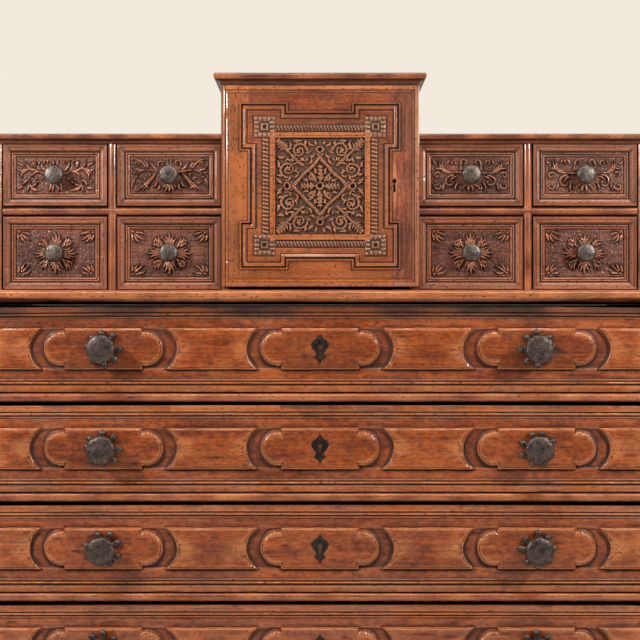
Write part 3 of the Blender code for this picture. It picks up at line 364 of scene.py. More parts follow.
def plinth_shell():
    """A profile of heights and outward steps, carried round three sides with mitres.

    Each outward step moves the path of the case's edge; the sawn edge lifts the profile's lower part.
    """
    low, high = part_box("plinth")
    inner, front, rear = high.x - PLINTH_THICKNESS, low.y + PLINTH_THICKNESS, high.y
    run, face = np.linspace(0, 1, 60), np.linspace(-1, 1, 190)
    side = rear + (front - rear) * run
    path = np.concatenate([
        np.stack([-inner + 0 * run, side], -1), np.stack([inner * face, front + 0 * face], -1)[1:-1],
        np.stack([inner + 0 * run, side[::-1]], -1),
    ])
    on_front = path[:, 1] < front + 1e-6
    on_end = np.abs(path[:, 0]) > inner - 1e-6
    out = np.stack([np.sign(path[:, 0]) * on_end, np.where(on_front, -1.0, 0.0)], -1)
    past_front = inner + PLINTH_THICKNESS - FOOT_WIDTH - np.abs(path[:, 0])
    past_side = np.minimum(path[:, 1] - low.y, rear - path[:, 1]) - FOOT_WIDTH
    sawn = rising_foot(np.where(on_front, past_front, past_side))
    body = high.z - PLINTH_MOULDING
    swell = np.linspace(0, 1, 15)
    ease = (1 - np.cos(pi * swell)) / 2
    plain = len(PLINTH_SHARES)
    shares = np.array([*PLINTH_SHARES, *np.zeros(len(swell) + 2)])
    heights = np.concatenate([np.zeros(plain), body + PLINTH_MOULDING * swell, [high.z, 0.0]])
    steps = np.concatenate([
        [PLINTH_THICKNESS - PLINTH_ARRIS], np.full(plain - 1, PLINTH_THICKNESS),
        PLINTH_THICKNESS - (PLINTH_THICKNESS - PLINTH_LIP) * ease, [0.0, 0.0],
    ])
    flat = np.arange(len(steps)) < plain
    foot = np.arange(len(steps)) == len(steps) - 1
    z = np.where(flat[:, None], sawn + shares[:, None] * (body - sawn), heights[:, None] + 0 * sawn)
    z = np.where(foot[:, None], sawn, z)
    xy = path[None] + out[None] * steps[:, None, None]
    points = np.concatenate([xy, z[..., None]], -1)
    points[..., 1] += 0.0005 * wander(points, 0.3, 5) * (points[..., 1] < front - 0.001)
    rows, columns = points.shape[:2]
    order = np.arange(rows * columns).reshape(rows, columns)
    under = np.stack([order[-1, :-1], order[-1, 1:], order[0, 1:], order[0, :-1]], -1)
    quads = np.concatenate([lattice(rows, columns, wrap=False), under])
    points = points.reshape(-1, 3)
    grain = along_grain(points, "x", 5)
    grain[:, 0] += 3 * (np.abs(points[:, 0]) > inner)
    grime = np.repeat(0.5 * ((steps < GRIMY_BELOW) & (steps > 0)), columns)
    grime += 0.8 * np.clip(1 - points[:, 2] / DIRT_HEIGHT, 0, 1)
    worn = np.repeat(0.6 * ((steps > RUBBED_ABOVE) & ~flat), columns)
    return shell(points, quads, (order[:, 0].tolist(), order[::-1, -1].tolist()), grain, grime, worn)


piece("walnut_plinth", [plinth_shell()], "case", walnut, ["plinth"])


# The carcase: two ends with a sunk panel, rails and bottom with a half-round bead worked on the front edge,
# all of walnut, and a back of broad poplar boards nailed on from behind.
SIDE_FRAME = 0.085
SIDE_SINK = 0.008
SIDE_BEVEL = 0.018
SIDE_ROUND = 0.010
BACK_BOARDS = 5
JOINT_DEPTH = 0.0035
JOINT_HALF = 0.0016
BOARD_CUP = 0.0006
END_ARRIS = 0.0012
# How far behind the front a swept board is worn light, wear with a painted highlight on its front edge.
WORN_AND_LIT_FRONT = 0.004
GRIMY_BEHIND = 0.010
CLOSEST_LINES = 0.00012
POPLAR_COLOURS = (
    (0.32, (0.150, 0.085, 0.042)), (0.50, (0.300, 0.185, 0.098)), (0.68, (0.430, 0.290, 0.165)))
POPLAR_GRIME = (0.060, 0.036, 0.022, 1)
POPLAR_RUBBED = (0.50, 0.36, 0.22, 1)


def poplar_finish(name, coordinates, dry):
    """Plain poplar without wax, as it is left at the back and inside."""
    return wood_finish(name, coordinates, POPLAR_COLOURS, POPLAR_GRIME, POPLAR_RUBBED, 1.6, dry, 0.0)


poplar = poplar_finish("poplar", "grain", 0.62)


def lines(low, high, pitch, marks=(), near=(0.0, 0.0004, 0.0011, 0.0024)):
    """Grid lines a pitch apart, with closer ones on both sides of each mark."""
    even = np.linspace(low, high, max(2, int(round((high - low) / pitch)) + 1))
    close = [mark + side * gap for mark in marks for gap in near for side in (-1, 1)]
    every = np.unique(np.round(np.concatenate([even, close]), 5))
    every = every[(every > low + 1e-5) & (every < high - 1e-5)]
    every = np.concatenate([[low], every, [high]])
    return every[np.concatenate([[True], np.diff(every) > CLOSEST_LINES])]


def soften(values, reach):
    """The mean over a window of grid lines, along both ways of the grid, taken twice."""
    width = 2 * reach + 1
    for _ in range(2):
        for _ in range(2):
            padded = np.pad(values, ((reach + 1, reach), (0, 0)), mode="edge").cumsum(0)
            values = ((padded[width:] - padded[:-width]) / width).T
    return values


def relief(us, vs, depth, back, place, axis, seed, reach=3, bite=0.0010, edge_grime=0.8):
    """A worked face: its depth below a plane at each (u, v), closed by its edges and a flat back.

    Where it lies deeper than the mean within reach, it takes grime and painted shade, as shade falls in a
    recess; where it stands higher, it is worn, both in full at a difference of bite. The edges have a grime
    of their own towards the back.
    """
    u, v = np.meshgrid(us, vs)
    rows, columns = depth.shape
    face = np.stack([u, v, depth], -1).reshape(-1, 3)
    order = np.arange(rows * columns).reshape(rows, columns)
    rim = np.concatenate([order[0, :-1], order[:-1, -1], order[-1, :0:-1], order[:0:-1, 0]])
    edge = face[rim]
    edge[:, 2] = back
    behind = rows * columns + np.arange(len(rim))
    walls = np.stack([rim, np.roll(rim, -1), np.roll(behind, -1), behind], -1)
    points = place(*np.concatenate([face, edge]).T)
    # Grime and painted shade in the recesses; wear where it stands up.
    rise = (soften(depth, reach) - depth).ravel() / bite
    hollow = np.concatenate([np.clip(-rise, 0, 1), np.full(len(rim), edge_grime)])
    worn = np.concatenate([np.clip(rise, 0, 1), np.zeros(len(rim))])
    quads = np.concatenate([lattice(rows, columns, wrap=False), walls])
    return shell(points, quads, [behind.tolist()], along_grain(points, axis, seed), hollow, worn)


def moulding(inset, members):
    """Depth at an inset from an edge, by members in order: (width, depth at its start, at its end, swell).

    A member is straight between its ends, less its swell times a half circle: a bead, or a hollow where the
    swell is below zero.
    """
    depth = np.full(np.shape(inset), members[-1][2])
    start = 0.0
    for width, first, last, swell in members:
        share = (inset - start) / width
        arch = np.sqrt(np.clip(1 - (2 * share - 1) ** 2, 0, 1))
        depth = np.where((share >= 0) & (share <= 1), first + (last - first) * share - swell * arch, depth)
        start += width
    return depth


def member_marks(members):
    """The insets at which one member of a moulding meets the next."""
    return np.cumsum([0.0, *[width for width, _, _, _ in members]])


def millimetres(*members):
    """The same members, from millimetres to metres."""
    return [tuple(size / 1000 for size in member) for member in members]


def swept(outline, low, high, axis, seed, pitch=0.012, wear=0.0004):
    """A closed outline carried along an axis, with eased ends and a little wander in its surface."""
    count = max(2, int((high - low) / pitch))
    along = np.concatenate([[low], np.linspace(low + END_ARRIS, high - END_ARRIS, count), [high]])
    middle = outline.mean(0)
    draw = np.ones(len(along))
    draw[[0, -1]] = 1 - END_ARRIS / np.ptp(outline, axis=0).max()
    flat = middle + (outline - middle)[None] * draw[:, None, None]
    run = np.broadcast_to(along[:, None, None], (*flat.shape[:2], 1))
    points = np.concatenate([run, flat] if axis == "x" else [flat, run], -1).copy()
    points[..., 1] += wear * wander(points, 0.16, seed) + wear * 0.6 * wander(points, 0.035, seed + 1)
    rows, columns = points.shape[:2]
    points = points.reshape(-1, 3)
    behind_front = points[:, 1] - points[:, 1].min()
    # The front edge is worn light, wear with a painted highlight on the bead; the parts further back take
    # grime.
    worn = (behind_front < WORN_AND_LIT_FRONT) * np.clip(0.45 + 0.6 * wander(points, 0.09, seed + 2), 0, 1.0)
    grime = (behind_front > GRIMY_BEHIND) * 0.7
    grain = along_grain(points, axis, seed)
    return shell(points, lattice(rows, columns), end_caps(rows, columns), grain, grime, worn)


def beaded(thickness, length):
    """A board's section, across and back from its front edge: a half circle, then its flat sides."""
    half = thickness / 2
    turn = np.linspace(0, pi, 17)
    nose = np.stack([-half * np.cos(turn), half - half * np.sin(turn)], -1)
    return np.concatenate([nose, [(half, length), (-half, length)]])


def shelf(node, seed):
    """A beaded board that lies flat, in the place of a node."""
    low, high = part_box(node)
    outline = beaded(high.z - low.z, high.y - low.y)
    flat = np.stack([low.y + outline[:, 1], (low.z + high.z) / 2 + outline[:, 0]], -1)
    return swept(flat, low.x, high.x, "x", seed)


for seed, node in enumerate(("case_bottom", "case_rail_1", "case_rail_2", "case_rail_3"), 11):
    piece(node + "_beaded", [shelf(node, seed)], "case", walnut, [node])

SIDE_MEMBERS = [
    (0.0015, 0, 0, 0), (SIDE_BEVEL, 0, SIDE_SINK, 0.0016), (0.003, SIDE_SINK, SIDE_SINK, 0),
]
for hand, seed in ((-1, 21), (1, 22)):
    node = "case_left_side" if hand < 0 else "case_right_side"
    low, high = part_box(node)
    thick = high.x - low.x
    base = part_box("plinth")[1].z
    marks = member_marks(SIDE_MEMBERS) + SIDE_FRAME
    ys = lines(low.y, high.y, 0.012, [low.y, high.y, *(low.y + marks), *(high.y - marks)])
    zs = lines(low.z, high.z, 0.016, [low.z, high.z, *(base + marks), *(high.z - marks)])
    y, z = np.meshgrid(ys, zs)
    inset = np.minimum(np.minimum(y - low.y, high.y - y), np.minimum(z - base, high.z - z))
    depth = moulding(inset - SIDE_FRAME, SIDE_MEMBERS) * (inset > SIDE_FRAME)
    short = 1 - np.clip((y - low.y) / SIDE_ROUND, 0, 1)
    depth += SIDE_ROUND * (1 - np.sqrt(np.clip(1 - short ** 2, 0, 1)))
    depth += 0.0005 * wander(np.stack([y, z], -1), 0.25, seed) * (inset > SIDE_ROUND)
    outside = low.x if hand < 0 else high.x

    def on_end(u, v, d):
        """A point of the end from its place along, its height and its depth below the outer face."""
        return np.stack([outside - hand * d, u, v], -1)

    board = relief(ys, zs, np.maximum(depth, 0), thick, on_end, "z", seed, edge_grime=0.1)
    piece(node + "_panelled", [board], "case", walnut, [node])


def boarded_back(node, boards, seed):
    """Upright boards side by side: V cuts at their joints, and each one cupped a little."""
    low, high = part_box(node)
    pitch = (high.x - low.x) / boards
    joints = low.x + pitch * np.arange(1, boards)
    xs = lines(low.x, high.x, 0.020, [low.x, high.x, *joints], near=(0.0, 0.0012, 0.003))
    zs = lines(low.z, high.z, 0.040, [low.z, high.z])
    x, z = np.meshgrid(xs, zs)
    apart = np.abs((x - low.x + pitch / 2) % pitch - pitch / 2)
    between = (x > low.x + pitch / 2) & (x < high.x - pitch / 2)
    cut = JOINT_DEPTH * np.clip(1 - apart / JOINT_HALF, 0, 1) * between
    cup = BOARD_CUP * np.sin(pi * ((x - low.x) % pitch) / pitch)
    depth = cut + BOARD_CUP - cup + 0.0003 * wander(np.stack([x, z], -1), 0.2, seed)

    def on_back(u, v, d):
        """A point of the back from its place across, its height and its depth below the rear face."""
        return np.stack([u, high.y - d, v], -1)

    board = relief(xs, zs, np.maximum(depth, 0), high.y - low.y, on_back, "z", seed, bite=0.002)
    board["grain"] += np.floor((board["points"][:, :1] - low.x) / pitch) * np.array([[0.7, 0.31, 0.53]])
    return board


back_boards = boarded_back("case_back", BACK_BOARDS, 31)
piece("case_back_boards", [back_boards], "case", poplar, ["case_back"])


# The chest's top is one walnut board with rounded arrises, and its front is the ledge before the small
# drawers. It lies on the carcase. Use has rubbed and dented its front edge, and broken it away below
# towards the two ends.
TOP_OVERHANG = 0.020
TOP_ROUND = 0.0105
TOP_BREAK = 0.0065
BREAK_FROM = 0.40
BREAK_RUN = 0.26
CAP_INSET = 0.03


def edged_board(low, high, profile, left, right, seed, wear=0.0005):
    """Level rectangles, one for each (height, outward step) of the profile; none steps out at the back.

    low and high are the corners of the board without its overhang. A step below zero shrinks its rectangle
    evenly, and left and right are 0 where an end has no overhang. The board keeps to its height.
    """
    (x0, y0, z0), (x1, y1) = low, high
    width, depth = x1 - x0, y1 - y0
    front = np.linspace(0, 1, max(24, int(width / 0.009)))[:-1]
    side = np.linspace(0, 1, max(12, int(depth / 0.02)))[:-1]
    back = np.linspace(1, 0, 13)[:-1]
    path = np.concatenate([
        np.stack([front, 0 * front], -1), np.stack([1 + 0 * side, side], -1),
        np.stack([back, 1 + 0 * back], -1), np.stack([0 * side, 1 - side], -1),
    ])
    heights, steps = np.array(profile).T
    across = np.where(path[:, 0] < 1e-9, -left, np.where(path[:, 0] > 1 - 1e-9, right, 0.0))
    ahead = np.where(path[:, 1] < 1e-9, -1.0, 0.0)
    drawn = np.minimum(steps, 0)[:, None]
    x = x0 + width * path[:, 0] + across * np.maximum(steps, 0)[:, None] - drawn * (1 - 2 * path[:, 0])
    y = y0 + depth * path[:, 1] + ahead * np.maximum(steps, 0)[:, None] - drawn * (1 - 2 * path[:, 1])
    points = np.stack([x, y, z0 + heights[:, None] + 0 * x], -1)
    shift = wear * wander(points, 0.22, seed) + wear * 0.7 * wander(points, 0.04, seed + 1)
    points[..., 1] += shift * (path[:, 1] < 1e-9) * (steps > -1e-9)[:, None]
    points[..., 2] += 0.6 * shift * (path[:, 1] < 1e-9) * (steps > -1e-9)[:, None]
    points[..., 2] = np.clip(points[..., 2], z0, z0 + heights.max())
    rows, columns = points.shape[:2]
    points = points.reshape(-1, 3)
    reach = np.repeat(steps, columns)
    worn = np.clip((reach - steps.max() * 0.8) / (steps.max() * 0.2 + 1e-6), 0, 1)
    worn *= np.clip(0.35 + 0.6 * wander(points, 0.08, seed + 2), 0, 0.9)
    # Painted shade: each part of the profile that steps outward as it rises looks down under the overhang,
    # and takes the hollow mark.
    hollow = np.repeat(0.45 * (np.gradient(steps) > 0.0008), columns)
    grain = along_grain(points, "x", seed)
    return shell(points, lattice(rows, columns), end_caps(rows, columns), grain, hollow, worn)


def nosing(height, overhang, radius):
    """A square edge with its two arrises rounded to quarter circles."""
    turn = np.linspace(0, pi / 2, 7)
    lower = np.stack([radius * (1 - np.cos(turn)), overhang - radius * (1 - np.sin(turn))], -1)
    upper = np.stack([height - radius * (1 - np.sin(turn)), overhang - radius * (1 - np.cos(turn))], -1)
    return [(0, -CAP_INSET), (0, 0), *lower, *upper, (height, 0), (height, -CAP_INSET)]


top_height = ledge_high.z - ledge_low.z
chest_top = edged_board(
    (ledge_low.x + TOP_OVERHANG, ledge_low.y + TOP_OVERHANG, ledge_low.z),
    (ledge_high.x - TOP_OVERHANG, ledge_high.y),
    nosing(top_height, TOP_OVERHANG, TOP_ROUND), 1, 1, 41, 0.0009)
spots = chest_top["points"]
low_front = (spots[:, 1] < ledge_low.y + TOP_OVERHANG) & (spots[:, 2] < ledge_low.z + top_height / 2)
broken = TOP_BREAK * np.clip((np.abs(spots[:, 0]) - BREAK_FROM) / BREAK_RUN, 0, 1)
broken *= 1 + 0.25 * wander(spots, 0.07, 43)
spots[:, 2] += low_front * broken * (1 - (spots[:, 2] - ledge_low.z) / (top_height / 2))
chest_top["worn"] += 0.50 * (spots[:, 1] < ledge_low.y + TOP_ROUND)
piece("case_top_board", [chest_top], "case", walnut, ["case_top"])


# A long drawer's front is one walnut board: a fillet and two reeds run round its edge, and within them stand
# three lobed tablets and the bitten panels between, each with a narrow step worked round its edge. Behind
# it is a plain poplar box.
LONG_MEMBERS = millimetres(
    (1.3, 2.7, 1.8, 0.25), (10.6, 1.8, 1.9, 0), (1.2, 1.9, 5.8, 0), (2.0, 5.8, 5.8, 0), (4.4, 4.4, 4.6, 1.4),
    (1.0, 4.6, 7.4, 0), (1.8, 7.4, 7.4, 0), (2.8, 6.4, 6.8, 0.9), (1.3, 6.8, 8.0, 0), (1.0, 8.0, 7.4, 0),
)
LONG_BORDER = 0.027
FIELD_MARGIN = 0.0175
END_MARGIN = 0.0050
FIELD_MEMBERS = millimetres(
    (0.8, 8.8, 8.8, 0), (0.7, 8.8, 3.6, 0), (3.0, 3.8, 3.4, 1.2), (0.7, 3.4, 0.6, 0), (1.0, 0.6, 0.3, 0),
)
TABLET_HALF = 0.078
TABLET_FROM_END = 0.1995
LOBE_RADIUS = 0.0345
LOBE_MIDDLE = 0.0850
BITE_RADIUS = 0.0480
BITE_MIDDLE = 0.0985
CRESCENT_SINK = 0.0026
CRESCENT_SLOPE = 0.003
LOBES_FROM, LOBES_TO = 0.068, 0.148
KEY_WELL = 0.0100
KEY_WELL_DEPTH = 0.0028
KEY_RISE = 0.0050
MENDED_FILLETS = {2: ((-0.800, -0.556), (-0.300, -0.080))}
MEND_DEPTH = 0.0135
TOP_SAG = {1: 0.0050}
LEAST_SAG = 0.0015
SAG_FROM = 0.25
# Darkening of the top moulding: soot, together with a painted shadow of the ledge above it.
SOOT_AND_LEDGE_SHADOW = {1: 1.0}
SOOT_AND_SHADOW_FADE = 0.012
ABOUT_TABLET_HALF = 0.10
# Where the painted highlight lies along the upper edge of each raised shape.
BROW_MIDDLE, BROW_HALF = 0.0015, 0.0055
EDGE_RUB, EDGE_RUB_REACH = 0.0016, 0.004
LONG_DENTS = (60, 0.006, 0.0012)
WELL_LINES = 0.001 * np.arange(-11, 12)
poplar_boxes = poplar_finish("poplar_boxes", (0, 0, 0), 0.60)


def tablets_and_panels(x, z, half_height, half_width, tablets):
    """How far inside the raised shapes a point lies, below zero outside, and 1 in the sunk crescents.

    A tablet is a rectangle joined with a circle at each end, a panel is what lies beyond the larger circles,
    and a crescent is what is left between the two.
    """
    level = half_height - np.abs(z)
    inside = np.full(x.shape, -1.0)
    panel = np.minimum(level, half_width - np.abs(x))
    crescent = np.zeros(x.shape)
    for middle in tablets:
        away = np.abs(x - middle)
        lobe = LOBE_RADIUS - np.hypot(away - LOBE_MIDDLE, z)
        tablet = np.maximum(np.minimum(TABLET_HALF - away, level), lobe)
        inside = np.maximum(inside, tablet)
        beyond = np.hypot(away - BITE_MIDDLE, z) - BITE_RADIUS
        beyond = np.where(away > BITE_MIDDLE, beyond, away - BITE_MIDDLE - BITE_RADIUS * 0.2)
        panel = np.minimum(panel, beyond)
        between = np.clip(-np.maximum(tablet, beyond) / CRESCENT_SLOPE, 0, 1) * np.clip(level / 0.005, 0, 1)
        crescent += between * (away > TABLET_HALF - 0.004)
    return np.maximum(inside, panel), crescent


def dents(x, z, count, size, deep, seed):
    """Knocks and bruises: round or long dimples with a Gaussian section at random places."""
    chance = np.random.default_rng(seed)
    total = np.zeros(x.shape)
    for _ in range(count):
        mx, mz = chance.uniform(x.min(), x.max()), chance.uniform(z.min(), z.max())
        width, length = size * chance.uniform(0.3, 1.0), size * chance.uniform(0.5, 3.0)
        dimple = np.exp(-((x - mx) / length) ** 2 - ((z - mz) / width) ** 2)
        total += deep * chance.uniform(0.2, 1.0) * dimple
    return total


def long_front(number, seed, sag, soot_and_shadow):
    """Depth over the front: the edge moulding by the inset from the nearest edge, then tablets and panels.

    sag lowers the top edge towards the two ends, as a shrunken front has. The last argument darkens the top
    moulding with soot and with a painted shadow of the ledge above, and darkens the front about each tablet.
    Grime and painted shade lie in the sunk crescents, and painted shade draws a dark line on each riser;
    each tread is worn light, wear with a painted highlight. The brow, which is the upper edge of each raised
    shape, loses its grime and takes a painted highlight. A mended fillet is new wood.
    """
    low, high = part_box(f"long_drawer_{number}_front")
    half_x, half_z = (high.x - low.x) / 2, (high.z - low.z) / 2
    middle_z = (low.z + high.z) / 2
    border = member_marks(LONG_MEMBERS)
    field_x, field_z = half_x - LONG_BORDER - END_MARGIN, half_z - LONG_BORDER - FIELD_MARGIN
    pitch = half_x - LONG_BORDER - FIELD_MARGIN - TABLET_FROM_END
    tablets = (-pitch, 0.0, pitch)
    steps = member_marks(FIELD_MEMBERS)
    mends = MENDED_FILLETS.get(number, ())
    fine = [t + s * np.linspace(LOBES_FROM, LOBES_TO, 90) for t in tablets for s in (-1, 1)]
    ends = np.concatenate([half_x - border, field_x - steps])
    joints = [x + gap for mend in mends for x in mend if abs(x) < half_x for gap in (0.0, 0.0004)]
    upright = [*ends, *(-ends), *np.concatenate(fine), *WELL_LINES, *joints]
    xs = lines(-half_x, half_x, 0.009, upright, near=(0.0,))
    levels = np.concatenate([half_z - border, field_z - steps])
    zs = lines(-half_z, half_z, 0.0019, [*levels, *(-levels)], near=(0.0,))
    x, z = np.meshgrid(xs, zs)
    flat = np.stack([x, z], -1)
    inset = np.minimum(half_x - np.abs(x), half_z - np.abs(z))
    depth = moulding(inset, LONG_MEMBERS)
    bend = 0.0007 * wander(flat, 0.05, seed)
    inside, crescent = tablets_and_panels(x + bend, z + 0.5 * bend, field_z, field_x, tablets)
    raised = moulding(inside + steps[1], FIELD_MEMBERS)
    depth = np.where(inside + steps[1] > 0, raised, depth + CRESCENT_SINK * crescent)
    depth += 0.00035 * wander(flat, 0.12, seed + 1) + 0.00018 * wander(flat, 0.03, seed + 2)
    depth += dents(x, z, *LONG_DENTS, seed + 3)
    rubbed = np.clip(wander(flat, 0.11, seed + 4) - 0.35, 0, 1) * np.exp(-(inset / EDGE_RUB_REACH) ** 2)
    depth += EDGE_RUB * rubbed
    # The keyhole well is painted light below: its grime taken off and its colour rubbed light against its
    # shade.
    well = np.hypot(x, z - KEY_RISE * 0.2) < KEY_WELL
    depth = np.where(well, KEY_WELL_DEPTH, np.maximum(depth, 0.0))
    lower = sag * np.clip((np.abs(xs) / half_x - SAG_FROM) / (1 - SAG_FROM), 0, 1) ** 1.5

    def place(u, v, d):
        """A point of the front from its place across, its height and its depth, with the top edge sagged."""
        drop = np.interp(u, xs, lower) * np.clip(v / half_z, 0, 1) ** 3
        return np.stack([u, low.y + d, middle_z + v - drop], -1)

    made = relief(xs, zs, depth, high.y - low.y, place, "x", seed)
    count = x.size
    ground = np.clip(-(inside + steps[1]) / 0.001, 0, 1) * (inset > border[-1])
    patchy = np.clip(0.5 + 0.6 * wander(flat, 0.20, seed + 5), 0, 1)
    # Painted shadow of the ledge with soot over the top moulding, and a darkening about each tablet.
    up_edge = np.clip((z - half_z + border[-1]) / SOOT_AND_SHADOW_FADE, 0, 1)
    about_tablets = np.max([np.exp(-((x - t) / ABOUT_TABLET_HALF) ** 4) for t in tablets], axis=0) * (inside > 0)
    darkened_top_and_tablets = up_edge * (0.5 + 0.5 * patchy) + 0.22 * about_tablets
    # Grime and painted shade in the sunk crescents, grime on the ground, and the top's soot and painted
    # shadow.
    dark = 0.22 * crescent + 0.06 * ground * patchy + soot_and_shadow * darkened_top_and_tablets
    tread = (inside > steps[2] - steps[1]) & (inside < steps[3] - steps[1])
    riser = (inside >= steps[3] - steps[1]) & (inside < steps[5] - steps[1])
    brow = np.clip(z / field_z, 0, 1) * (np.abs(inside - BROW_MIDDLE) < BROW_HALF)
    # Painted shade on each riser; a painted highlight on each tread and brow, where grime is taken off.
    made["hollow"][:count] += (dark + 0.60 * riser - well).ravel()
    made["hollow"][:count] *= ((1 - 0.75 * brow) * (1 - 0.6 * tread)).ravel()
    made["worn"][:count] += (well + (0.5 + 0.5 * patchy) * tread + 0.5 * brow * riser).ravel()
    made["dull"][:count] += (0.30 * patchy * (inset < border[-1]) + 0.16 * patchy * ground).ravel()
    for first, last in mends:
        new_wood = ((x > first) & (x < last) & (half_z - z < MEND_DEPTH)).ravel()
        made["worn"][:count] += 0.9 * new_wood
        made["dull"][:count] *= 1.0 - new_wood
        made["grain"][:count][new_wood] += (1.7, 0.3, 0.9)
    return made


def refinish(node, finish):
    """A CAD solid that keeps its shape gets a finish."""
    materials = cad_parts[node].data.materials
    materials.clear()
    materials.append(finish)


for n in range(1, 5):
    name = f"long_drawer_{n}"
    front = long_front(n, 50 + 10 * n, TOP_SAG.get(n, LEAST_SAG), SOOT_AND_LEDGE_SHADOW.get(n, 0.0))
    piece(name + "_walnut_front", [front], name, walnut, [name + "_front"])
    refinish(name + "_tray", poplar_boxes)


# Each long drawer has two wrought-iron knobs: a domed, hammered head on a neck, over a rosette of eight
# petals that end in balls. The shank passes through the front.
KNOB_LENGTH = 0.050
KNOB_RADIUS = 0.0284
KNOB_UNDER = 0.74
KNOB_NECK = 0.0072
KNOB_PLATE = 0.004
SHANK_RADIUS = 0.005
KNOB_STEPS = 40
PETALS = 8
PETAL_STEPS = 12
BALL = 0.0070
PETAL_REACH = 0.0318
SCOURED = 1.9
KNOB_IRON = (
    (0.32, (0.030, 0.023, 0.021)), (0.52, (0.080, 0.063, 0.058)), (0.72, (0.145, 0.110, 0.096)))


def iron_finish(name, colours):
    """Dark forged iron: blotches of black scale and brown rust, bright scoured flecks, and hammer marks.

    Broad noise picks the colour, fine noise the flecks and pits, and smooth cells are the hammer's marks.
    """
    finish, sockets = bare_finish(name)
    place = Shade(finish.node_tree).node("TexCoord", {}, {}, out="Object")
    blotch = place.noise(70.0, 4.0, 0.6)
    pits = place.noise(420.0, 3.0, 0.6)
    cells = {"Vector": place, "Scale": 210.0}
    hammer = place.node("TexVoronoi", {"feature": "SMOOTH_F1"}, cells, out="Distance")
    colour = blotch.node("ValToRGB", {"stops": colours}, {0: blotch})
    scoured = [SCOURED * part for part in colours[-1][1]]
    colour = (pits.above(0.54, 0.10) * 0.55).mixed(colour, (*scoured, 1))
    rough = (0.24 + blotch * 0.22 + pits * 0.18).clamp()
    height = hammer * 0.9 + pits * 0.35
    bump = height.node("Bump", {}, {"Strength": 0.45, "Distance": 0.0012, "Height": height})
    for socket, value in (("Base Color", colour), ("Roughness", rough), ("Normal", bump)):
        value.feed(sockets[socket])
    sockets["Metallic"].default_value = 0.72
    return finish


iron = iron_finish("iron", KNOB_IRON)


def turned(rings, steps, seed, place, turn=lambda p: p, uneven=0.0003, facets=0.0):
    """Circles of (radius, distance along the axis), capped at both ends, hammered a little out of true."""
    radius, along = np.array(rings).T
    angle = tau * np.arange(steps) / steps
    out = radius[:, None] * (1 + facets * np.cos(9 * angle + seed))
    points = np.stack([out * np.cos(angle), along[:, None] + 0 * out, out * np.sin(angle)], -1)
    points += uneven * wander(points, 0.012, seed)[..., None] * np.array([1, 0.6, 1])
    rows = len(radius)
    points = turn(points.reshape(-1, 3)) + np.array(place)
    return shell(points, lattice(rows, steps), end_caps(rows, steps), points)


def domed_head(radius, under, crown):
    """Rings of a knob's head: a dome with a flattened crown, a rounded rim, and the hollow below it."""
    turn = np.linspace(0.12, pi / 2, 12)
    dome = [(radius * np.sin(t), -under - crown * np.cos(t) ** 0.38) for t in turn]
    return [*dome, (radius * 0.985, -under + crown * 0.10), (radius * 0.90, -under + crown * 0.22)]


def large_knob(node, seed):
    """The head, neck and plate on one axis, with the petals round them as drops that end in a ball."""
    low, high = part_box(node)
    middle = np.array([(low.x + high.x) / 2, low.y + KNOB_LENGTH, (low.z + high.z) / 2])
    under, neck, plate = KNOB_LENGTH * KNOB_UNDER, KNOB_NECK, KNOB_PLATE
    crown = KNOB_LENGTH - under
    rings = [
        *domed_head(KNOB_RADIUS, under, crown * 0.98), (neck, -under + crown * 0.42),
        (neck * 0.95, -plate * 3), (neck * 1.4, -plate * 2), (0.0150, -plate * 1.5), (0.0170, -plate),
        (0.0165, 0), (SHANK_RADIUS, 0), (SHANK_RADIUS, high.y - middle[1]),
    ]
    shells = [turned(rings, KNOB_STEPS, seed, middle, uneven=0.00060, facets=0.025)]
    chance = np.random.default_rng(seed)
    ball = [(BALL * np.sin(t), PETAL_REACH + BALL * np.cos(t)) for t in np.linspace(0.35, 2.3, 7)]
    drop = [
        (0.0006, PETAL_REACH + BALL), *ball, (0.0051, PETAL_REACH - BALL * 1.2),
        (0.0048, 0.020), (0.0050, 0.012), (0.0030, 0.006),
    ]
    root = middle + np.array([0, -plate * 0.9, 0])
    for k in range(PETALS):
        angle = tau * (k + 0.5 * (seed % 3 == 0)) / PETALS + chance.normal(0, 0.07)
        tilt = 0.05 + chance.normal(0, 0.04)
        reach = 1 + chance.normal(0, 0.025)
        ahead = np.array([np.cos(angle) * np.cos(tilt), -np.sin(tilt), np.sin(angle) * np.cos(tilt)])
        across = np.cross(ahead, (0, 1, 0))
        across /= np.linalg.norm(across)
        basis = np.stack([across, ahead * reach, np.cross(across, ahead)])
        shells.append(turned(drop, PETAL_STEPS, seed + k, root, lambda p: p @ basis))
    return shells


for n in range(1, 5):
    for hand in ("left", "right"):
        node = f"long_drawer_{n}_knob_{hand}"
        forged = large_knob(node, 200 + 2 * n + (hand == "left"))
        piece(node + "_forged", forged, f"long_drawer_{n}", iron, [node], crease=1.2)


# In the middle of each long drawer is the lock: an iron shield with a pointed head, broad shoulders and an
# arrow tip, nailed over the keyhole, and the lock's case screwed to the back of the front.
SHIELD_HALF = (
    (0.00, 1.00), (0.13, 0.85), (0.34, 0.75), (0.37, 0.66), (0.62, 0.62), (0.95, 0.42), (1.00, 0.22),
    (0.84, 0.02), (0.52, -0.22), (0.37, -0.40), (0.38, -0.48), (0.66, -0.55), (0.50, -0.66),
    (0.22, -0.74), (0.00, -1.00),
)
SHIELD_SIZE = (0.0175, 0.0305)
SHIELD_THICKNESS = 0.0020
SHIELD_NAILS = ((0.0, 0.66), (0.0, -0.62))
SHIELD_STEPS = 120
NAIL_RINGS = ((0.0003, -0.0016), (0.0012, -0.0014), (0.0021, -0.0007), (0.0023, 0.0004))
KEY_RADIUS = 0.0040
KEY_SLOT_HALF = 0.0017
KEY_DROP = 0.0135
SLOT_FROM = 0.72
LOCK_CASE_HALF = np.array([0.040, 0.030])
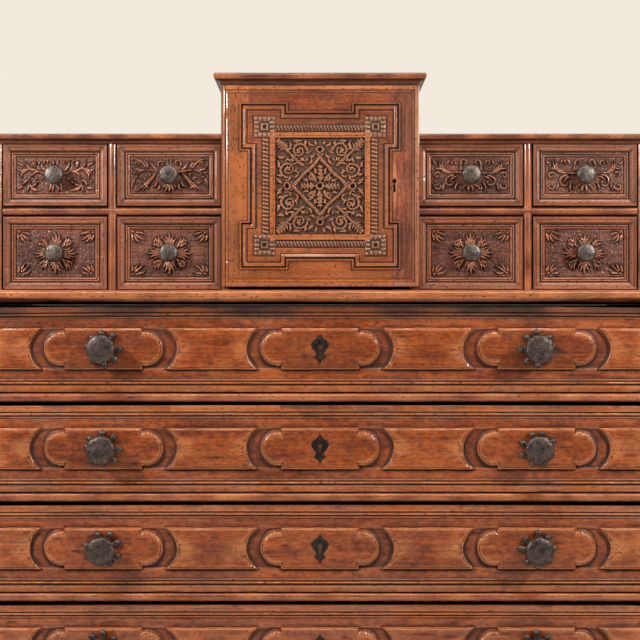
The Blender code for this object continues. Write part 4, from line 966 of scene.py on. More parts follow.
LOCK_CASE_DEPTH = 0.014
LOCK_ARRIS = 0.001
SHIELD_IRON = (
    (0.32, (0.012, 0.009, 0.008)), (0.52, (0.034, 0.026, 0.023)), (0.72, (0.066, 0.047, 0.038)))
black_iron = iron_finish("black_iron", SHIELD_IRON)


def closed_curve(points, steps):
    """A smooth line through points and back to the first, by a Catmull-Rom spline in each span."""
    around = len(points)
    where = np.linspace(0, around, steps, endpoint=False)
    first = where.astype(int)
    t = (where - first)[:, None]
    p = [points[(first + k) % around] for k in (-1, 0, 1, 2)]
    return 0.5 * (2 * p[1] + (p[2] - p[0]) * t + (2 * p[0] - 5 * p[1] + 4 * p[2] - p[3]) * t ** 2
                  + (3 * p[1] - p[0] - 3 * p[2] + p[3]) * t ** 3)


def keyhole_outline(steps):
    """A round eye with a slot below it, walked from the top in even turns about the eye."""
    angle = pi / 2 + tau * np.arange(steps) / steps
    x, z = KEY_RADIUS * np.cos(angle), KEY_RADIUS * np.sin(angle)
    below = np.sin(angle) < -SLOT_FROM
    reach = np.clip((-np.sin(angle) - SLOT_FROM) / 0.22, 0, 1)
    slot_x = np.sign(np.cos(angle)) * KEY_SLOT_HALF
    slot_z = -KEY_RADIUS * SLOT_FROM - (KEY_DROP - KEY_RADIUS * SLOT_FROM) * reach
    return np.stack([np.where(below, slot_x, x), np.where(below, slot_z, z) + KEY_RISE], -1)


def level_rings(rings, middle):
    """Outlines of (x, z), each at its own y, as points about a middle."""
    return np.concatenate([np.stack([p[:, 0], np.full(len(p), y), p[:, 1]], -1) for p, y in rings]) + middle


def lock_shells(node, seed):
    """A plate from the shield's outline in to the keyhole, bevelled outside; nail heads; the case behind."""
    low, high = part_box(node)
    right = np.array(SHIELD_HALF)
    half = np.concatenate([right, (right * (-1, 1))[-2:0:-1]]) * SHIELD_SIZE
    shield = closed_curve(half, SHIELD_STEPS)[::-1]
    hole = keyhole_outline(SHIELD_STEPS)
    between = shield + (hole - shield) * 0.5
    middle = np.array([(low.x + high.x) / 2, 0, (low.z + high.z) / 2])
    face, back = low.y, low.y + SHIELD_THICKNESS
    rings = [
        (shield * 0.99, back), (shield, face + 0.0010), (shield * 0.965, face + 0.0002), (between, face),
        (hole, face + 0.0002), (hole, back), (between, back),
    ]
    points = level_rings(rings, middle)
    plate = shell(points, lattice(len(rings), SHIELD_STEPS, loop=True), (), points)
    nails = [
        turned(NAIL_RINGS, 12, seed + k, middle + np.array([u * SHIELD_SIZE[0], face, v * SHIELD_SIZE[1]]))
        for k, (u, v) in enumerate(SHIELD_NAILS)]
    corner = np.array(CORNERS)
    outer, eased = corner * LOCK_CASE_HALF, corner * (LOCK_CASE_HALF - LOCK_ARRIS)
    front = high.y - LOCK_CASE_DEPTH
    levels = [(eased, front), (outer, front + LOCK_ARRIS), (outer, high.y - LOCK_ARRIS), (eased, high.y)]
    points = level_rings(levels, middle)
    case = shell(points, lattice(4, 4), end_caps(4, 4), points)
    return [plate, *nails, case]


for n in range(1, 5):
    node = f"long_drawer_{n}_lock"
    lock = lock_shells(node, 300 + n)
    piece(node + "_shield", lock, f"long_drawer_{n}", black_iron, [node], crease=0.5)


# The upper stage: a poplar back, the cupboard's two walnut sides, and beside it two banks of drawers, each
# with an end, a crossed divider and a moulded top. A cornice of hollow and round caps the cupboard.
BANK_OVERHANG = 0.012
CORNICE_OVERHANG = 0.0145
ARRIS = 0.0012
DIVIDER_THICKNESS = 0.017
DIVIDER_RISE = 0.001
MUNTIN_HALF = 0.010
MUNTIN_BACK = 0.0002
DARK_COLOURS = (
    (0.35, (0.048, 0.010, 0.0040)), (0.48, (0.128, 0.029, 0.0092)), (0.62, (0.240, 0.064, 0.0210)))
dark_walnut = wood_finish("dark_walnut", "grain", DARK_COLOURS, GRIME_AND_SHADE, RUBBED_AND_LIT, 2.6, 0.27, 1.0)


def upright(x0, x1, y0, y1, z0, z1, seed):
    """A beaded board that stands up, with its bead to the front."""
    outline = beaded(x1 - x0, y1 - y0)
    flat = np.stack([(x0 + x1) / 2 + outline[:, 0], y0 + outline[:, 1]], -1)
    return swept(flat, z0, z1, "z", seed)


def hollow_and_round(height, overhang):
    """A quarter hollow that curves outwards, a small fillet, then a half-round nosing above it."""
    hollow = height * 0.44
    nose = (height - hollow) / 2
    turn = np.linspace(0, pi / 2, 8)
    cove = np.stack([hollow * np.sin(turn), overhang * 0.72 * (1 - np.cos(turn))], -1)
    turn = np.linspace(-pi / 2, pi / 2, 13)
    round_ = np.stack([hollow + nose + nose * np.sin(turn), overhang * (0.76 + 0.24 * np.cos(turn))], -1)
    return [(0, -CAP_INSET), *cove, *round_, (height, 0), (height, -CAP_INSET)]


def plain_board(node, seed):
    """A board that fills a node's box, with its long arrises eased."""
    low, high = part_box(node)
    outline = np.array([
        (low.x + ARRIS, low.y), (high.x - ARRIS, low.y), (high.x, low.y + ARRIS), (high.x, high.y - ARRIS),
        (high.x - ARRIS, high.y), (low.x + ARRIS, high.y), (low.x, high.y - ARRIS), (low.x, low.y + ARRIS),
    ])
    board = swept(outline, low.z, high.z, "z", seed, wear=0.0001)
    board["hollow"] *= 0.4
    return board


for seed, hand in enumerate(("left", "right"), 71):
    node = f"cabinet_{hand}_side"
    piece(node + "_board", [plain_board(node, seed)], "case", dark_walnut, [node])
    node = f"bank_{hand}_end"
    low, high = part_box(node)
    end = upright(low.x, high.x, low.y, high.y, low.z, high.z, seed + 2)
    end["hollow"] *= 0.2
    piece(node + "_board", [end], "case", dark_walnut, [node])

    node = f"bank_{hand}_divider"
    low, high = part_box(node)
    column = 1 if hand == "left" else 3
    above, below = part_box(f"upper_drawer_{column}")[0].z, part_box(f"lower_drawer_{column}")[1].z
    shelf_z = (above + below) / 2 + DIVIDER_RISE
    flat = beaded(DIVIDER_THICKNESS, high.y - low.y)
    rail = swept(np.stack([low.y + flat[:, 1], shelf_z + flat[:, 0]], -1), low.x, high.x, "x", seed + 4)
    middle = (low.x + high.x) / 2
    muntin = upright(
        middle - MUNTIN_HALF, middle + MUNTIN_HALF, low.y + MUNTIN_BACK, high.y, low.z, high.z, seed + 6)
    piece(node + "_crossed", [rail, muntin], "case", dark_walnut, [node])

    node = f"bank_{hand}_top"
    low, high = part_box(node)
    over_left, over_right = BANK_OVERHANG * (hand == "left"), BANK_OVERHANG * (hand == "right")
    top = edged_board(
        (low.x + over_left, low.y + BANK_OVERHANG, low.z), (high.x - over_right, high.y),
        hollow_and_round(high.z - low.z, BANK_OVERHANG), int(hand == "left"), int(hand == "right"), seed + 8)
    piece(node + "_moulded", [top], "case", dark_walnut, [node])

low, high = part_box("cabinet_cornice")
cornice = edged_board(
    (low.x + CORNICE_OVERHANG, low.y + CORNICE_OVERHANG, low.z), (high.x - CORNICE_OVERHANG, high.y),
    hollow_and_round(high.z - low.z, CORNICE_OVERHANG), 1, 1, 85)
piece("cabinet_cornice_moulded", [cornice], "case", dark_walnut, ["cabinet_cornice"])
refinish("upper_back", poplar_finish("poplar_back", (0, pi / 2, 0), 0.62))


# A small drawer has a walnut front with a flat band and stepped reeds round a sunk panel, carved in low
# relief on a punched ground: scrolling leaves in the upper row, a leaf rosette with corner sprays in the
# lower. Behind it is a poplar box, and through it a small iron knob.
SMALL_MEMBERS = millimetres(
    (1.4, 1.2, 0.1, 0.3), (4.6, 0.1, 0.4, 0), (0.8, 0.4, 2.2, 0), (8.4, 1.8, 5.2, 1.0), (0.8, 5.2, 7.6, 0),
    (1.4, 7.6, 7.6, 0), (3.2, 6.2, 7.0, 1.1), (1.2, 8.4, 8.4, 0), (3.6, 7.6, 9.0, 1.1), (1.0, 9.0, 10.8, 0),
    (1.3, 10.8, 9.8, 0),
)
SMALL_HEIGHTS = {"upper": 0.1305, "lower": 0.1540}
SMALL_BOX_DROP = {"upper": 0.0265, "lower": 0.0210}
RELIEF = 0.0062
STEM_GROOVE = 0.3
TREMBLE = 0.0004
SMALL_DENTS = (12, 0.004, 0.0007)
CARVED_PITCH = 0.00090
SMALL_THICKNESS = 0.018
BOX_GAP = 0.0001
BOX_WALL = 0.008
BOX_FLOOR = 0.006
BOX_ARRIS = 0.001
CARVED_COLOURS = (
    (0.30, (0.080, 0.027, 0.013)), (0.47, (0.150, 0.055, 0.027)), (0.66, (0.250, 0.100, 0.050)))
# Grime colour of the carving, which also paints shade on its sunk ground.
CARVED_GRIME_AND_SHADE = (0.026, 0.015, 0.011, 1)
CARVED_RUBBED = (0.52, 0.235, 0.125, 1)
SMALL_COLOURS = (
    (0.34, (0.046, 0.0078, 0.0026)), (0.48, (0.140, 0.0255, 0.0064)), (0.62, (0.300, 0.068, 0.0180)))
# Rubbed colour of the small fronts, which also paints highlights on carved ridges and light on the bottom
# members of lower drawers.
SMALL_RUBBED_AND_LIT = (0.58, 0.205, 0.086, 1)
small_walnut = wood_finish("small_walnut", "grain", SMALL_COLOURS, GRIME_AND_SHADE, SMALL_RUBBED_AND_LIT, 2.6, 0.25, 1.0)
carved_walnut = wood_finish(
    "carved_walnut", "grain", CARVED_COLOURS, CARVED_GRIME_AND_SHADE, CARVED_RUBBED, 3.2, 0.28, 0.25)


class Carving:
    """A height field in millimetres over a panel, built up from ridges, leaves, scrolls and rings.

    All places are in millimetres from the panel's middle, and corner is its upper right one.
    """

    def __init__(self, x, z, half_x, half_z):
        self.x = x * 1000
        self.z = z * 1000
        self.corner = np.array([half_x * 1000, half_z * 1000])
        self.height = np.zeros(x.shape)

    def ridge(self, path, width, rise, groove=0.0):
        """Along a path, a half ellipse across it, with a V cut on its line; width and rise follow the path.

        Each point takes the highest of the path's spans, by its distance from the nearest place on each.
        """
        path = np.asarray(path, float)
        width, rise = np.broadcast_to(width, len(path)), np.broadcast_to(rise, len(path))
        reach = width.max() + 0.5
        near = ((self.x > path[:, 0].min() - reach) & (self.x < path[:, 0].max() + reach)
                & (self.z > path[:, 1].min() - reach) & (self.z < path[:, 1].max() + reach))
        if not near.any():
            return
        spot = np.stack([self.x[near], self.z[near]], -1)[:, None]
        first, span = path[:-1], np.diff(path, axis=0)
        length = np.maximum((span ** 2).sum(-1), 1e-9)
        share = np.clip(((spot - first) * span).sum(-1) / length, 0, 1)
        away = np.linalg.norm(spot - first - share[..., None] * span, axis=-1)
        wide = np.maximum(width[:-1] + share * np.diff(width), 0.05)
        tall = rise[:-1] + share * np.diff(rise)
        across = away / wide
        up = tall * (np.sqrt(np.clip(1 - across ** 2, 0, 1)) - groove * np.exp(-(across / 0.24) ** 2))
        self.height[near] = np.maximum(self.height[near], np.where(across < 1, up, 0).max(1))

    def leaf(self, root, tip, bend, width, rise, groove=0.5):
        """A pointed leaf: widest before its middle, bowed to one side and cut along its rib."""
        root, tip = np.array(root, float), np.array(tip, float)
        s = np.linspace(0, 1, 12)[:, None]
        side = np.array([root[1] - tip[1], tip[0] - root[0]])
        path = root + (tip - root) * s + side * bend * 4 * s * (1 - s)
        s = s[:, 0]
        broad = width * (0.24 + 0.82 * np.sin(pi * s ** 0.75)) * (1 - 0.50 * s ** 3)
        self.ridge(path, broad, rise * (0.72 + 0.38 * s), groove)

    def leaves(self, blades, rise, groove=0.5, slim=1.0):
        """Leaves given by root, tip, bend and width, all as high, and slimmer by one share."""
        for root, tip, bend, width in blades:
            self.leaf(root, tip, bend, slim * width, rise, groove)

    def berries(self, middles, radius, rise):
        """Round balls, each a ridge hardly longer than a point."""
        for middle in middles:
            self.ridge([middle, np.array(middle) + 0.1], radius, rise)

    def acanthus(self, root, tip, bend, width, rise, lobes):
        """A leaf with a toothed edge: a rib, and pairs of side lobes that sweep forwards."""
        root, tip = np.array(root, float), np.array(tip, float)
        way = tip - root
        side = np.array([-way[1], way[0]])
        length = np.hypot(*way)
        for s in np.linspace(0.08, 0.70, lobes):
            base = root + way * s + side * bend * 4 * s * (1 - s)
            reach = width * (1.2 - 0.55 * s)
            for hand in (-1, 1):
                end = base + (0.95 * way + hand * side) / length * reach
                self.leaf(base, end, -0.2 * hand, width * 0.34, rise * 0.92)
        self.leaf(root, tip, bend, width * 0.42, rise)

    def spray(self, root, angle, length, spread, lobes, width, rise):
        """Leaves fanned from one root, the middle one longest and the outer ones curling away."""
        for k in np.linspace(-1, 1, lobes):
            turn = angle + spread * k
            reach = length * (1 - 0.38 * abs(k) ** 1.5)
            tip = np.array(root) + reach * np.array([np.cos(turn), np.sin(turn)])
            self.leaf(root, tip, 0.16 * k, width, rise * (1 - 0.15 * abs(k)))

    def scroll(self, middle, outer, inner, start, turns, width, rise):
        """A stem that winds in to an eye: a spiral of even pitch, thinning, that ends in a small ball."""
        s = np.linspace(0, 1, max(14, int(abs(turns) * 30)))
        angle = start + turns * tau * s
        reach = outer + (inner - outer) * s ** 0.8
        path = np.array(middle) + np.stack([reach * np.cos(angle), reach * np.sin(angle)], -1)
        self.ridge(path, width * (1 - 0.4 * s), rise * (0.75 + 0.25 * s), 0.30)
        self.ridge([path[-1], path[-1] + 0.01], inner * 0.62, rise)

    def eye(self, middle, outer, hole, rise):
        """A ring with a sunk middle."""
        turn = np.linspace(0, tau, 30)
        ring = np.stack([np.cos(turn), np.sin(turn)], -1)
        width = (outer - hole) / 2
        inside = np.hypot(self.x - middle[0], self.z - middle[1])
        self.height[inside < outer] = np.minimum(self.height[inside < outer], 0.6 * rise)
        self.ridge(np.array(middle) + ring * (outer + hole) / 2, width, rise)
        self.height[inside < hole] *= 0.15

    def punched(self, deep, seed):
        """A ground beaten with a small punch: random dimples where nothing stands up from it."""
        chance = np.random.default_rng(seed)
        speckle = chance.normal(size=self.height.shape)
        low = np.clip(1 - self.height / 0.8, 0, 1)
        self.height += deep * low * soften(np.clip(speckle, -1.5, 1.5), 1) * 4
        self.height += 0.12 * np.clip(self.height, 0, 1) * chance.normal(size=self.height.shape)


def scrolling_leaves(carving):
    """Mirrored halves: long bowed blades from a stem beside the knob, curls above and berries below."""
    top = RELIEF * 1000
    carving.leaves((
        ((12, 5), (40, 10), -0.05, 1.8), ((34, 9), (65, 33), -0.18, 2.7), ((16, 9), (30, 33), -0.16, 2.4),
        ((29, -31), (56, -6), -0.30, 2.8), ((57, -8), (68, -23), 0.12, 2.3),
        ((57, -20), (61, -35), -0.08, 2.3), ((66, -25), (81, -31), 0.10, 2.2),
        ((60, 11), (71, -8), 0.25, 2.1), ((48, 13), (79, 0), 0.18, 2.3), ((34, 7), (52, -4), 0.20, 2.4),
        ((68, 22), (81, 31), -0.15, 2.0), ((52, -22), (38, -14), 0.15, 2.0), ((44, 17), (52, 31), 0.14, 2.0),
        ((5, 21), (8, 35), 0.12, 2.2), ((12, -16), (17, -34), -0.20, 2.4), ((3, -20), (6, -35), 0.10, 2.2),
        ((72, 12), (82, 14), -0.15, 1.9),
    ), top, STEM_GROOVE)
    carving.scroll((41, 27), 6.0, 1.7, 3.4, -0.9, 1.5, top)
    carving.scroll((20, 28), 5.5, 1.6, -0.4, 0.9, 1.5, top)
    carving.berries(((28, -7), (41, -8), (36, -14), (75, -13)), 2.5, top)


def drooping_leaves(carving):
    """Mirrored halves: a level stem with a long leaf that droops to the corner, curls above, a fan below."""
    top = RELIEF * 1000
    carving.leaves((
        ((12, 8), (60, 11), 0.02, 1.9), ((52, 11), (69, 0), 0.28, 2.0), ((26, 8), (71, -33), -0.06, 3.6),
        ((36, -4), (60, -34), -0.05, 2.6), ((40, -2), (49, 4), 0.20, 2.0), ((50, -10), (60, -5), 0.20, 2.0),
        ((60, -19), (70, -15), 0.20, 2.0), ((24, 12), (41, 33), -0.10, 2.6), ((50, 15), (79, 33), 0.20, 2.4),
        ((62, 15), (81, 19), -0.20, 2.0), ((46, 14), (56, 31), 0.15, 2.2), ((72, -6), (80, -29), 0.12, 2.4),
        ((0, -21), (0, -36), 0.0, 2.4), ((2, -21), (8, -34), 0.10, 2.2), ((4, -20), (14, -29), 0.16, 2.0),
        ((26, -12), (36, -26), -0.18, 2.3), ((20, -18), (26, -33), -0.15, 2.3),
        ((4, 20), (5, 35), 0.10, 2.0),
    ), top, STEM_GROOVE)
    carving.scroll((17, 26), 7.5, 2.0, -0.6, 1.0, 1.7, top)
    carving.scroll((69, 25), 5.0, 1.6, 3.2, -0.9, 1.4, top)
    carving.berries(((70, -3), (75, 6), (46, -26)), 2.6, top)


def winding_stems(carving):
    """Mirrored halves: a level stem, a long leaf bowed up to the corner, and C scrolls on all sides."""
    top = RELIEF * 1000
    carving.leaves((
        ((12, 5), (42, 5), 0.0, 1.8), ((36, 5), (66, 36), -0.28, 2.5), ((46, 9), (60, 32), -0.25, 1.9),
        ((30, -3), (43, -11), 0.15, 2.4), ((6, -20), (20, -31), 0.15, 2.3), ((2, -21), (4, -35), 0.10, 2.1),
        ((22, 9), (24, 22), 0.15, 1.9), ((58, 12), (77, 10), 0.18, 2.2), ((56, -14), (64, -32), -0.12, 2.1),
        ((50, 25), (47, 35), 0.15, 1.9), ((74, 24), (81, 34), -0.15, 2.0), ((26, -14), (30, -34), 0.15, 2.1),
    ), top, STEM_GROOVE)
    for middle, outer, start, turns, width in (
        ((14, 27), 9.0, -0.5, 0.85, 1.8), ((38, 27), 6.5, 3.6, -0.85, 1.6),
        ((41, -14), 15.5, 1.9, -1.05, 2.2), ((71, 0), 7.5, 2.4, -0.90, 1.8),
        ((72, -22), 9.5, 3.0, 0.85, 1.9), ((18, -26), 5.0, 0.4, -0.80, 1.5),
    ):
        carving.scroll(middle, outer, 2.0, start, turns, width, top)


def leaf_rosette(carving):
    """Slim leaves each side of the knob, a curl and leaves between, and leaves fanned in from a corner."""
    top = RELIEF * 1000
    for ray, reach in ((np.array([1.0, 0.0]), 49), (np.array([0.0, 1.0]), 45)):
        side = ray[::-1]
        bow = ray[0] - ray[1]
        second, third = (reach - 5) * ray + 11 * side, (reach - 14) * ray + 15 * side
        carving.leaf(15 * ray, reach * ray, 0.0, 3.2, top, 0.5)
        carving.leaf(16 * ray + 4.0 * side, second, -0.10 * bow, 2.5, top * 0.95, 0.40)
        carving.leaf(15 * ray + 7.5 * side, third, -0.14 * bow, 2.1, top * 0.85, 0.35)
    carving.scroll((29.5, 23.5), 6.0, 1.8, 3.9, -1.25, 1.5, top * 0.95)
    carving.leaves((
        ((15, 13), (25, 20), 0.10, 2.1), ((17, 19), (23, 36), -0.12, 2.1), ((22, 14), (39, 19), 0.12, 2.1),
        ((20, 22), (30, 36), -0.15, 2.1),
    ), top * 0.9, 0.35)
    corner = carving.corner - 2.0
    inward = pi + np.arctan2(0.85, 1.0)
    for turn, first, last, bend in (
        (-0.70, 7, 25, -0.16), (-0.36, 9, 31, -0.10), (-0.05, 8, 34, 0.06), (0.26, 10, 31, 0.10),
        (0.58, 8, 24, 0.16), (-0.98, 6, 16, -0.2), (0.86, 6, 15, 0.2),
    ):
        ray = np.array([np.cos(inward + turn), np.sin(inward + turn)])
        carving.leaf(corner + first * ray, corner + last * ray, bend, 2.2, top * 0.95, 0.35)
    carving.ridge([corner + (-3.5, -3.0), corner + (-3.4, -2.9)], 2.6, top * 0.8)


def free_hand(flat, sway, sway_pitch, tremble_pitch, seed):
    """Where the plane's points fall in a pattern that is bent a little, as a free hand does: x and z."""
    return [
        flat[..., k] + sway * wander(flat, sway_pitch, seed + 2 * k)
        + TREMBLE * wander(flat, tremble_pitch, seed + 2 * k + 1) for k in (0, 1)]


def small_front(node, row, seed, pattern, folds):
    """The band and reeds by the inset from the edge, then the carving that stands up from the sunk panel.

    The pattern is drawn once and mirrored by folding the plane across, or both ways where folds is 2. Each
    of the four members of the frame has its own wear and grime, and the bottom member of a lower drawer is
    painted lighter, as lit from above. The carving's ridges are worn light with a painted highlight, and its
    ground takes grime and painted shade.
    """
    low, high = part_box(node)
    half_x, half_z = (high.x - low.x) / 2, SMALL_HEIGHTS[row] / 2
    middle_x, middle_z = (low.x + high.x) / 2, high.z - half_z
    marks = member_marks(SMALL_MEMBERS)
    panel_x, panel_z = half_x - marks[-1], half_z - marks[-1]
    edge = lines(0, marks[-1], 0.0030, marks, near=(0.0, 0.0004))[:-1]
    xs = np.concatenate([edge - half_x, lines(-panel_x, panel_x, CARVED_PITCH), (half_x - edge)[::-1]])
    zs = np.concatenate([edge - half_z, lines(-panel_z, panel_z, CARVED_PITCH), (half_z - edge)[::-1]])
    x, z = np.meshgrid(xs, zs)
    flat = np.stack([x, z], -1)
    to_side, to_top = half_x - np.abs(x), half_z - np.abs(z)
    inset = np.minimum(to_side, to_top)
    depth = moulding(inset, SMALL_MEMBERS)
    bent_x, bent_z = free_hand(flat, 0.0011, 0.045, 0.012, seed)
    carving = Carving(np.abs(bent_x), np.abs(bent_z) if folds == 2 else bent_z, panel_x, panel_z)
    pattern(carving)
    carving.punched(0.27, seed)
    within = np.clip((inset - marks[-1] + 0.0004) / 0.0008, 0, 1)
    depth -= within * carving.height / 1000 * (0.9 + 0.12 * wander(flat, 0.03, seed + 4))
    depth += 0.00022 * wander(flat, 0.07, seed + 5) + dents(x, z, *SMALL_DENTS, seed + 6)

    def place(u, v, d):
        """A point of the front from its place across, its height and its depth."""
        return np.stack([middle_x + u, low.y + d, middle_z + v], -1)

    front = relief(xs, zs, np.maximum(depth, 0.0), SMALL_THICKNESS, place, "x", seed, bite=0.0009)
    count = x.size
    carved = (inset > marks[-1]).ravel()
    # Grime and painted shade on the carved ground, the lower the darker.
    grimy = carved * np.clip(1.2 - carving.height.ravel() / 2.4, 0, 1) * 0.28
    front["hollow"][:count] = np.maximum(front["hollow"][:count], grimy)
    member = np.where(to_side < to_top, np.where(x < 0, 0, 1), np.where(z < 0, 2, 3)).ravel()
    chance = np.random.default_rng(seed)
    lifted = np.clip(carving.height.ravel() / 5.0, 0, 1)
    front["dull"][:count] = np.where(carved, 0.52 - 0.30 * lifted, chance.uniform(0.0, 0.30, 4)[member])
    # Carved ridges worn light, wear with a painted highlight.
    front["worn"][:count] += np.where(carved, 0.80 * lifted ** 2, chance.uniform(0.0, 0.30, 4)[member])
    # Painted light: the bottom member of each lower drawer is lighter, as if lit from above.
    front["worn"][:count] += np.where(carved | (member != 2), 0.0, 0.45 * (row == "lower"))
    front["hollow"][:count] += np.where(carved, 0.0, chance.uniform(0.05, 0.42, 4)[member])
    standing = (member < 2) & ~carved
    points = front["points"][:count][standing]
    front["grain"][:count][standing] = along_grain(points, "z", seed + 7)
    return front


def open_box(low, high):
    """A drawer's box: level rectangles up the outside, over the rim and down to the floor inside."""
    (x0, y0, z0), (x1, y1, z1) = low, high
    rings = [
        (0.0, z0), (0.0, z1 - BOX_ARRIS), (BOX_ARRIS, z1), (BOX_WALL - BOX_ARRIS, z1),
        (BOX_WALL, z1 - BOX_ARRIS), (BOX_WALL, z0 + BOX_FLOOR),
    ]
    points = np.array([
        (x, y, z) for d, z in rings
        for x, y in ((x0 + d, y0 + d), (x1 - d, y0 + d), (x1 - d, y1 - d), (x0 + d, y1 - d))])
    rows = len(rings)
    return shell(points, lattice(rows, 4), end_caps(rows, 4), along_grain(points, "y", 7), 0.1)


SMALL_KNOB_LENGTH = 0.034
SMALL_KNOB_RADIUS = 0.0202
SMALL_KNOB_UNDER = 0.6
SMALL_SHANK = 0.004
GREY_IRON = (
    (0.32, (0.050, 0.042, 0.039)), (0.52, (0.115, 0.098, 0.091)), (0.72, (0.185, 0.150, 0.130)))
grey_iron = iron_finish("grey_iron", GREY_IRON)


def small_knob(node, seed):
    """A flattened round head on a short flared neck, with its shank."""
    low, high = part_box(node)
    length = SMALL_KNOB_LENGTH
    middle = ((low.x + high.x) / 2, low.y + length, (low.z + high.z) / 2)
    under = length * SMALL_KNOB_UNDER
    crown = length - under
    rings = [
        *domed_head(SMALL_KNOB_RADIUS, under, crown * 0.98), (0.0140, -under + crown * 0.42),
        (0.0058, -under + crown * 0.7), (0.0055, -0.0060), (0.0075, -0.0018), (0.0088, 0.0),
        (SMALL_SHANK, 0.0), (SMALL_SHANK, high.y - low.y - length),
    ]
    return turned(rings, 32, seed, middle, uneven=0.00042, facets=0.022)


BANK_PATTERNS = {
    "upper": (scrolling_leaves, drooping_leaves, winding_stems, winding_stems),
    "lower": (leaf_rosette, leaf_rosette, leaf_rosette, leaf_rosette),
}
for row, patterns in BANK_PATTERNS.items():
    for column, pattern in enumerate(patterns, 1):
        node = f"{row}_drawer_{column}"
        seed = 400 + 20 * column + (row == "lower") * 7
        front = small_front(node, row, seed, pattern, 2 if row == "lower" else 1)
        piece(node + "_carved_front", [front], node, small_walnut, [node], crease=1.1)
        low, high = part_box(node)
        box_top = low.z + SMALL_HEIGHTS[row] - SMALL_BOX_DROP[row]
        tray = open_box((low.x, low.y + SMALL_THICKNESS + BOX_GAP, low.z), (high.x, high.y, box_top))
        piece(node + "_box", [tray], node, poplar, [node])
        knob = small_knob(node + "_knob", seed + 3)
        piece(node + "_knob_forged", [knob], node, grey_iron, [node + "_knob"], crease=1.2)


# The cupboard door: a walnut frame with reeds at its edge, an eared moulding planted on it, a carved block
# at each inner corner and strips of twist between, and a flat frame round the carved panel. It turns on two
# iron pins.
DOOR_EDGE_MEMBERS = millimetres(
    (1.0, 0.9, 0.2, 0.2), (7.6, 0.3, 0.6, 0.8), (1.0, 0.6, 3.2, 0), (0.7, 3.2, 3.2, 0), (4.0, 2.6, 2.8, 1.2),
    (1.0, 2.8, 4.6, 0), (1.2, 4.6, 4.0, 0),
)
LUG_MEMBERS = millimetres(
    (0.9, 5.0, 5.0, 0), (0.9, 5.0, 1.2, 0), (2.8, 1.2, 1.2, 0.4), (1.0, 1.2, 6.8, 0), (2.2, 6.8, 6.8, 0),
    (1.0, 6.8, 3.0, 0), (6.8, 2.6, 4.0, 1.6), (1.2, 4.0, 7.0, 0), (1.2, 7.0, 6.8, 0), (9.4, 5.2, 5.4, 0),
    (1.6, 5.4, 6.2, 0),
)
INNER_GROUND = 0.006
INNER_MEMBERS = millimetres(
    (0.8, 11.5, 3.0, 0), (3.2, 2.8, 2.6, 0.6), (0.7, 2.6, 3.6, 0), (0.7, 3.6, 2.2, 0), (6.4, 2.2, 2.1, 0.1),
    (1.2, 2.1, 6.4, 0), (0.6, 6.4, 6.0, 0),
)
LUG_WIDTH, LUG_HEIGHT = 0.305, 0.318
LUG_PROJECTION = 0.0187
LUG_LENGTH = 0.105
PANEL_WIDTH, PANEL_HEIGHT = 0.188, 0.203
PANEL_GROUND = 0.0098
PANEL_BED = 0.0115
STILE = 0.058
BLOCK = 0.046
BLOCK_RISE = 0.0020
BLOCK_SLOPE = 0.0012
BLOCK_BED = 0.002
SCALLOP_PITCH = 0.0092
SCALLOP_MIDDLE, SCALLOP_HALF = 0.0165, 0.0060
SCALLOP_RISE = 0.0032
SQUARE_HALF, SQUARE_RISE = 0.0082, 0.0030
WELL_HALF, WELL_DEPTH = 0.0044, 0.0042
TWIST_WIDTH = 0.0145
TWIST_FROM_PANEL = 0.0135
TWIST_LEAST, TWIST_WAVE = 0.0010, 0.0038
TWIST_BED = 0.0015
KEYHOLE_FROM_EDGE = 0.052
DOOR_EYE_RADIUS, DOOR_EYE_RISE = 0.0042, 0.010
DOOR_SLOT_HALF, DOOR_SLOT_FOOT = 0.0022, -0.012
DOOR_KEYHOLE_DEPTH = 0.0125
NOSE = 0.011
SHADED_ABOVE = 0.13
DOOR_DENTS = (24, 0.004, 0.0008)
KEY_LINES = 0.0007 * np.arange(-7, 8)
door_low, door_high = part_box("door_frame")
door_half_x, door_half_z = (door_high.x - door_low.x) / 2, (door_high.z - door_low.z) / 2
door_middle = np.array([(door_low.x + door_high.x) / 2, (door_low.z + door_high.z) / 2])


def on_door(u, v, d):
    """A point of the door from its place across, its height and its depth behind the front."""
    return np.stack([door_middle[0] + u, door_low.y + d, door_middle[1] + v], -1)


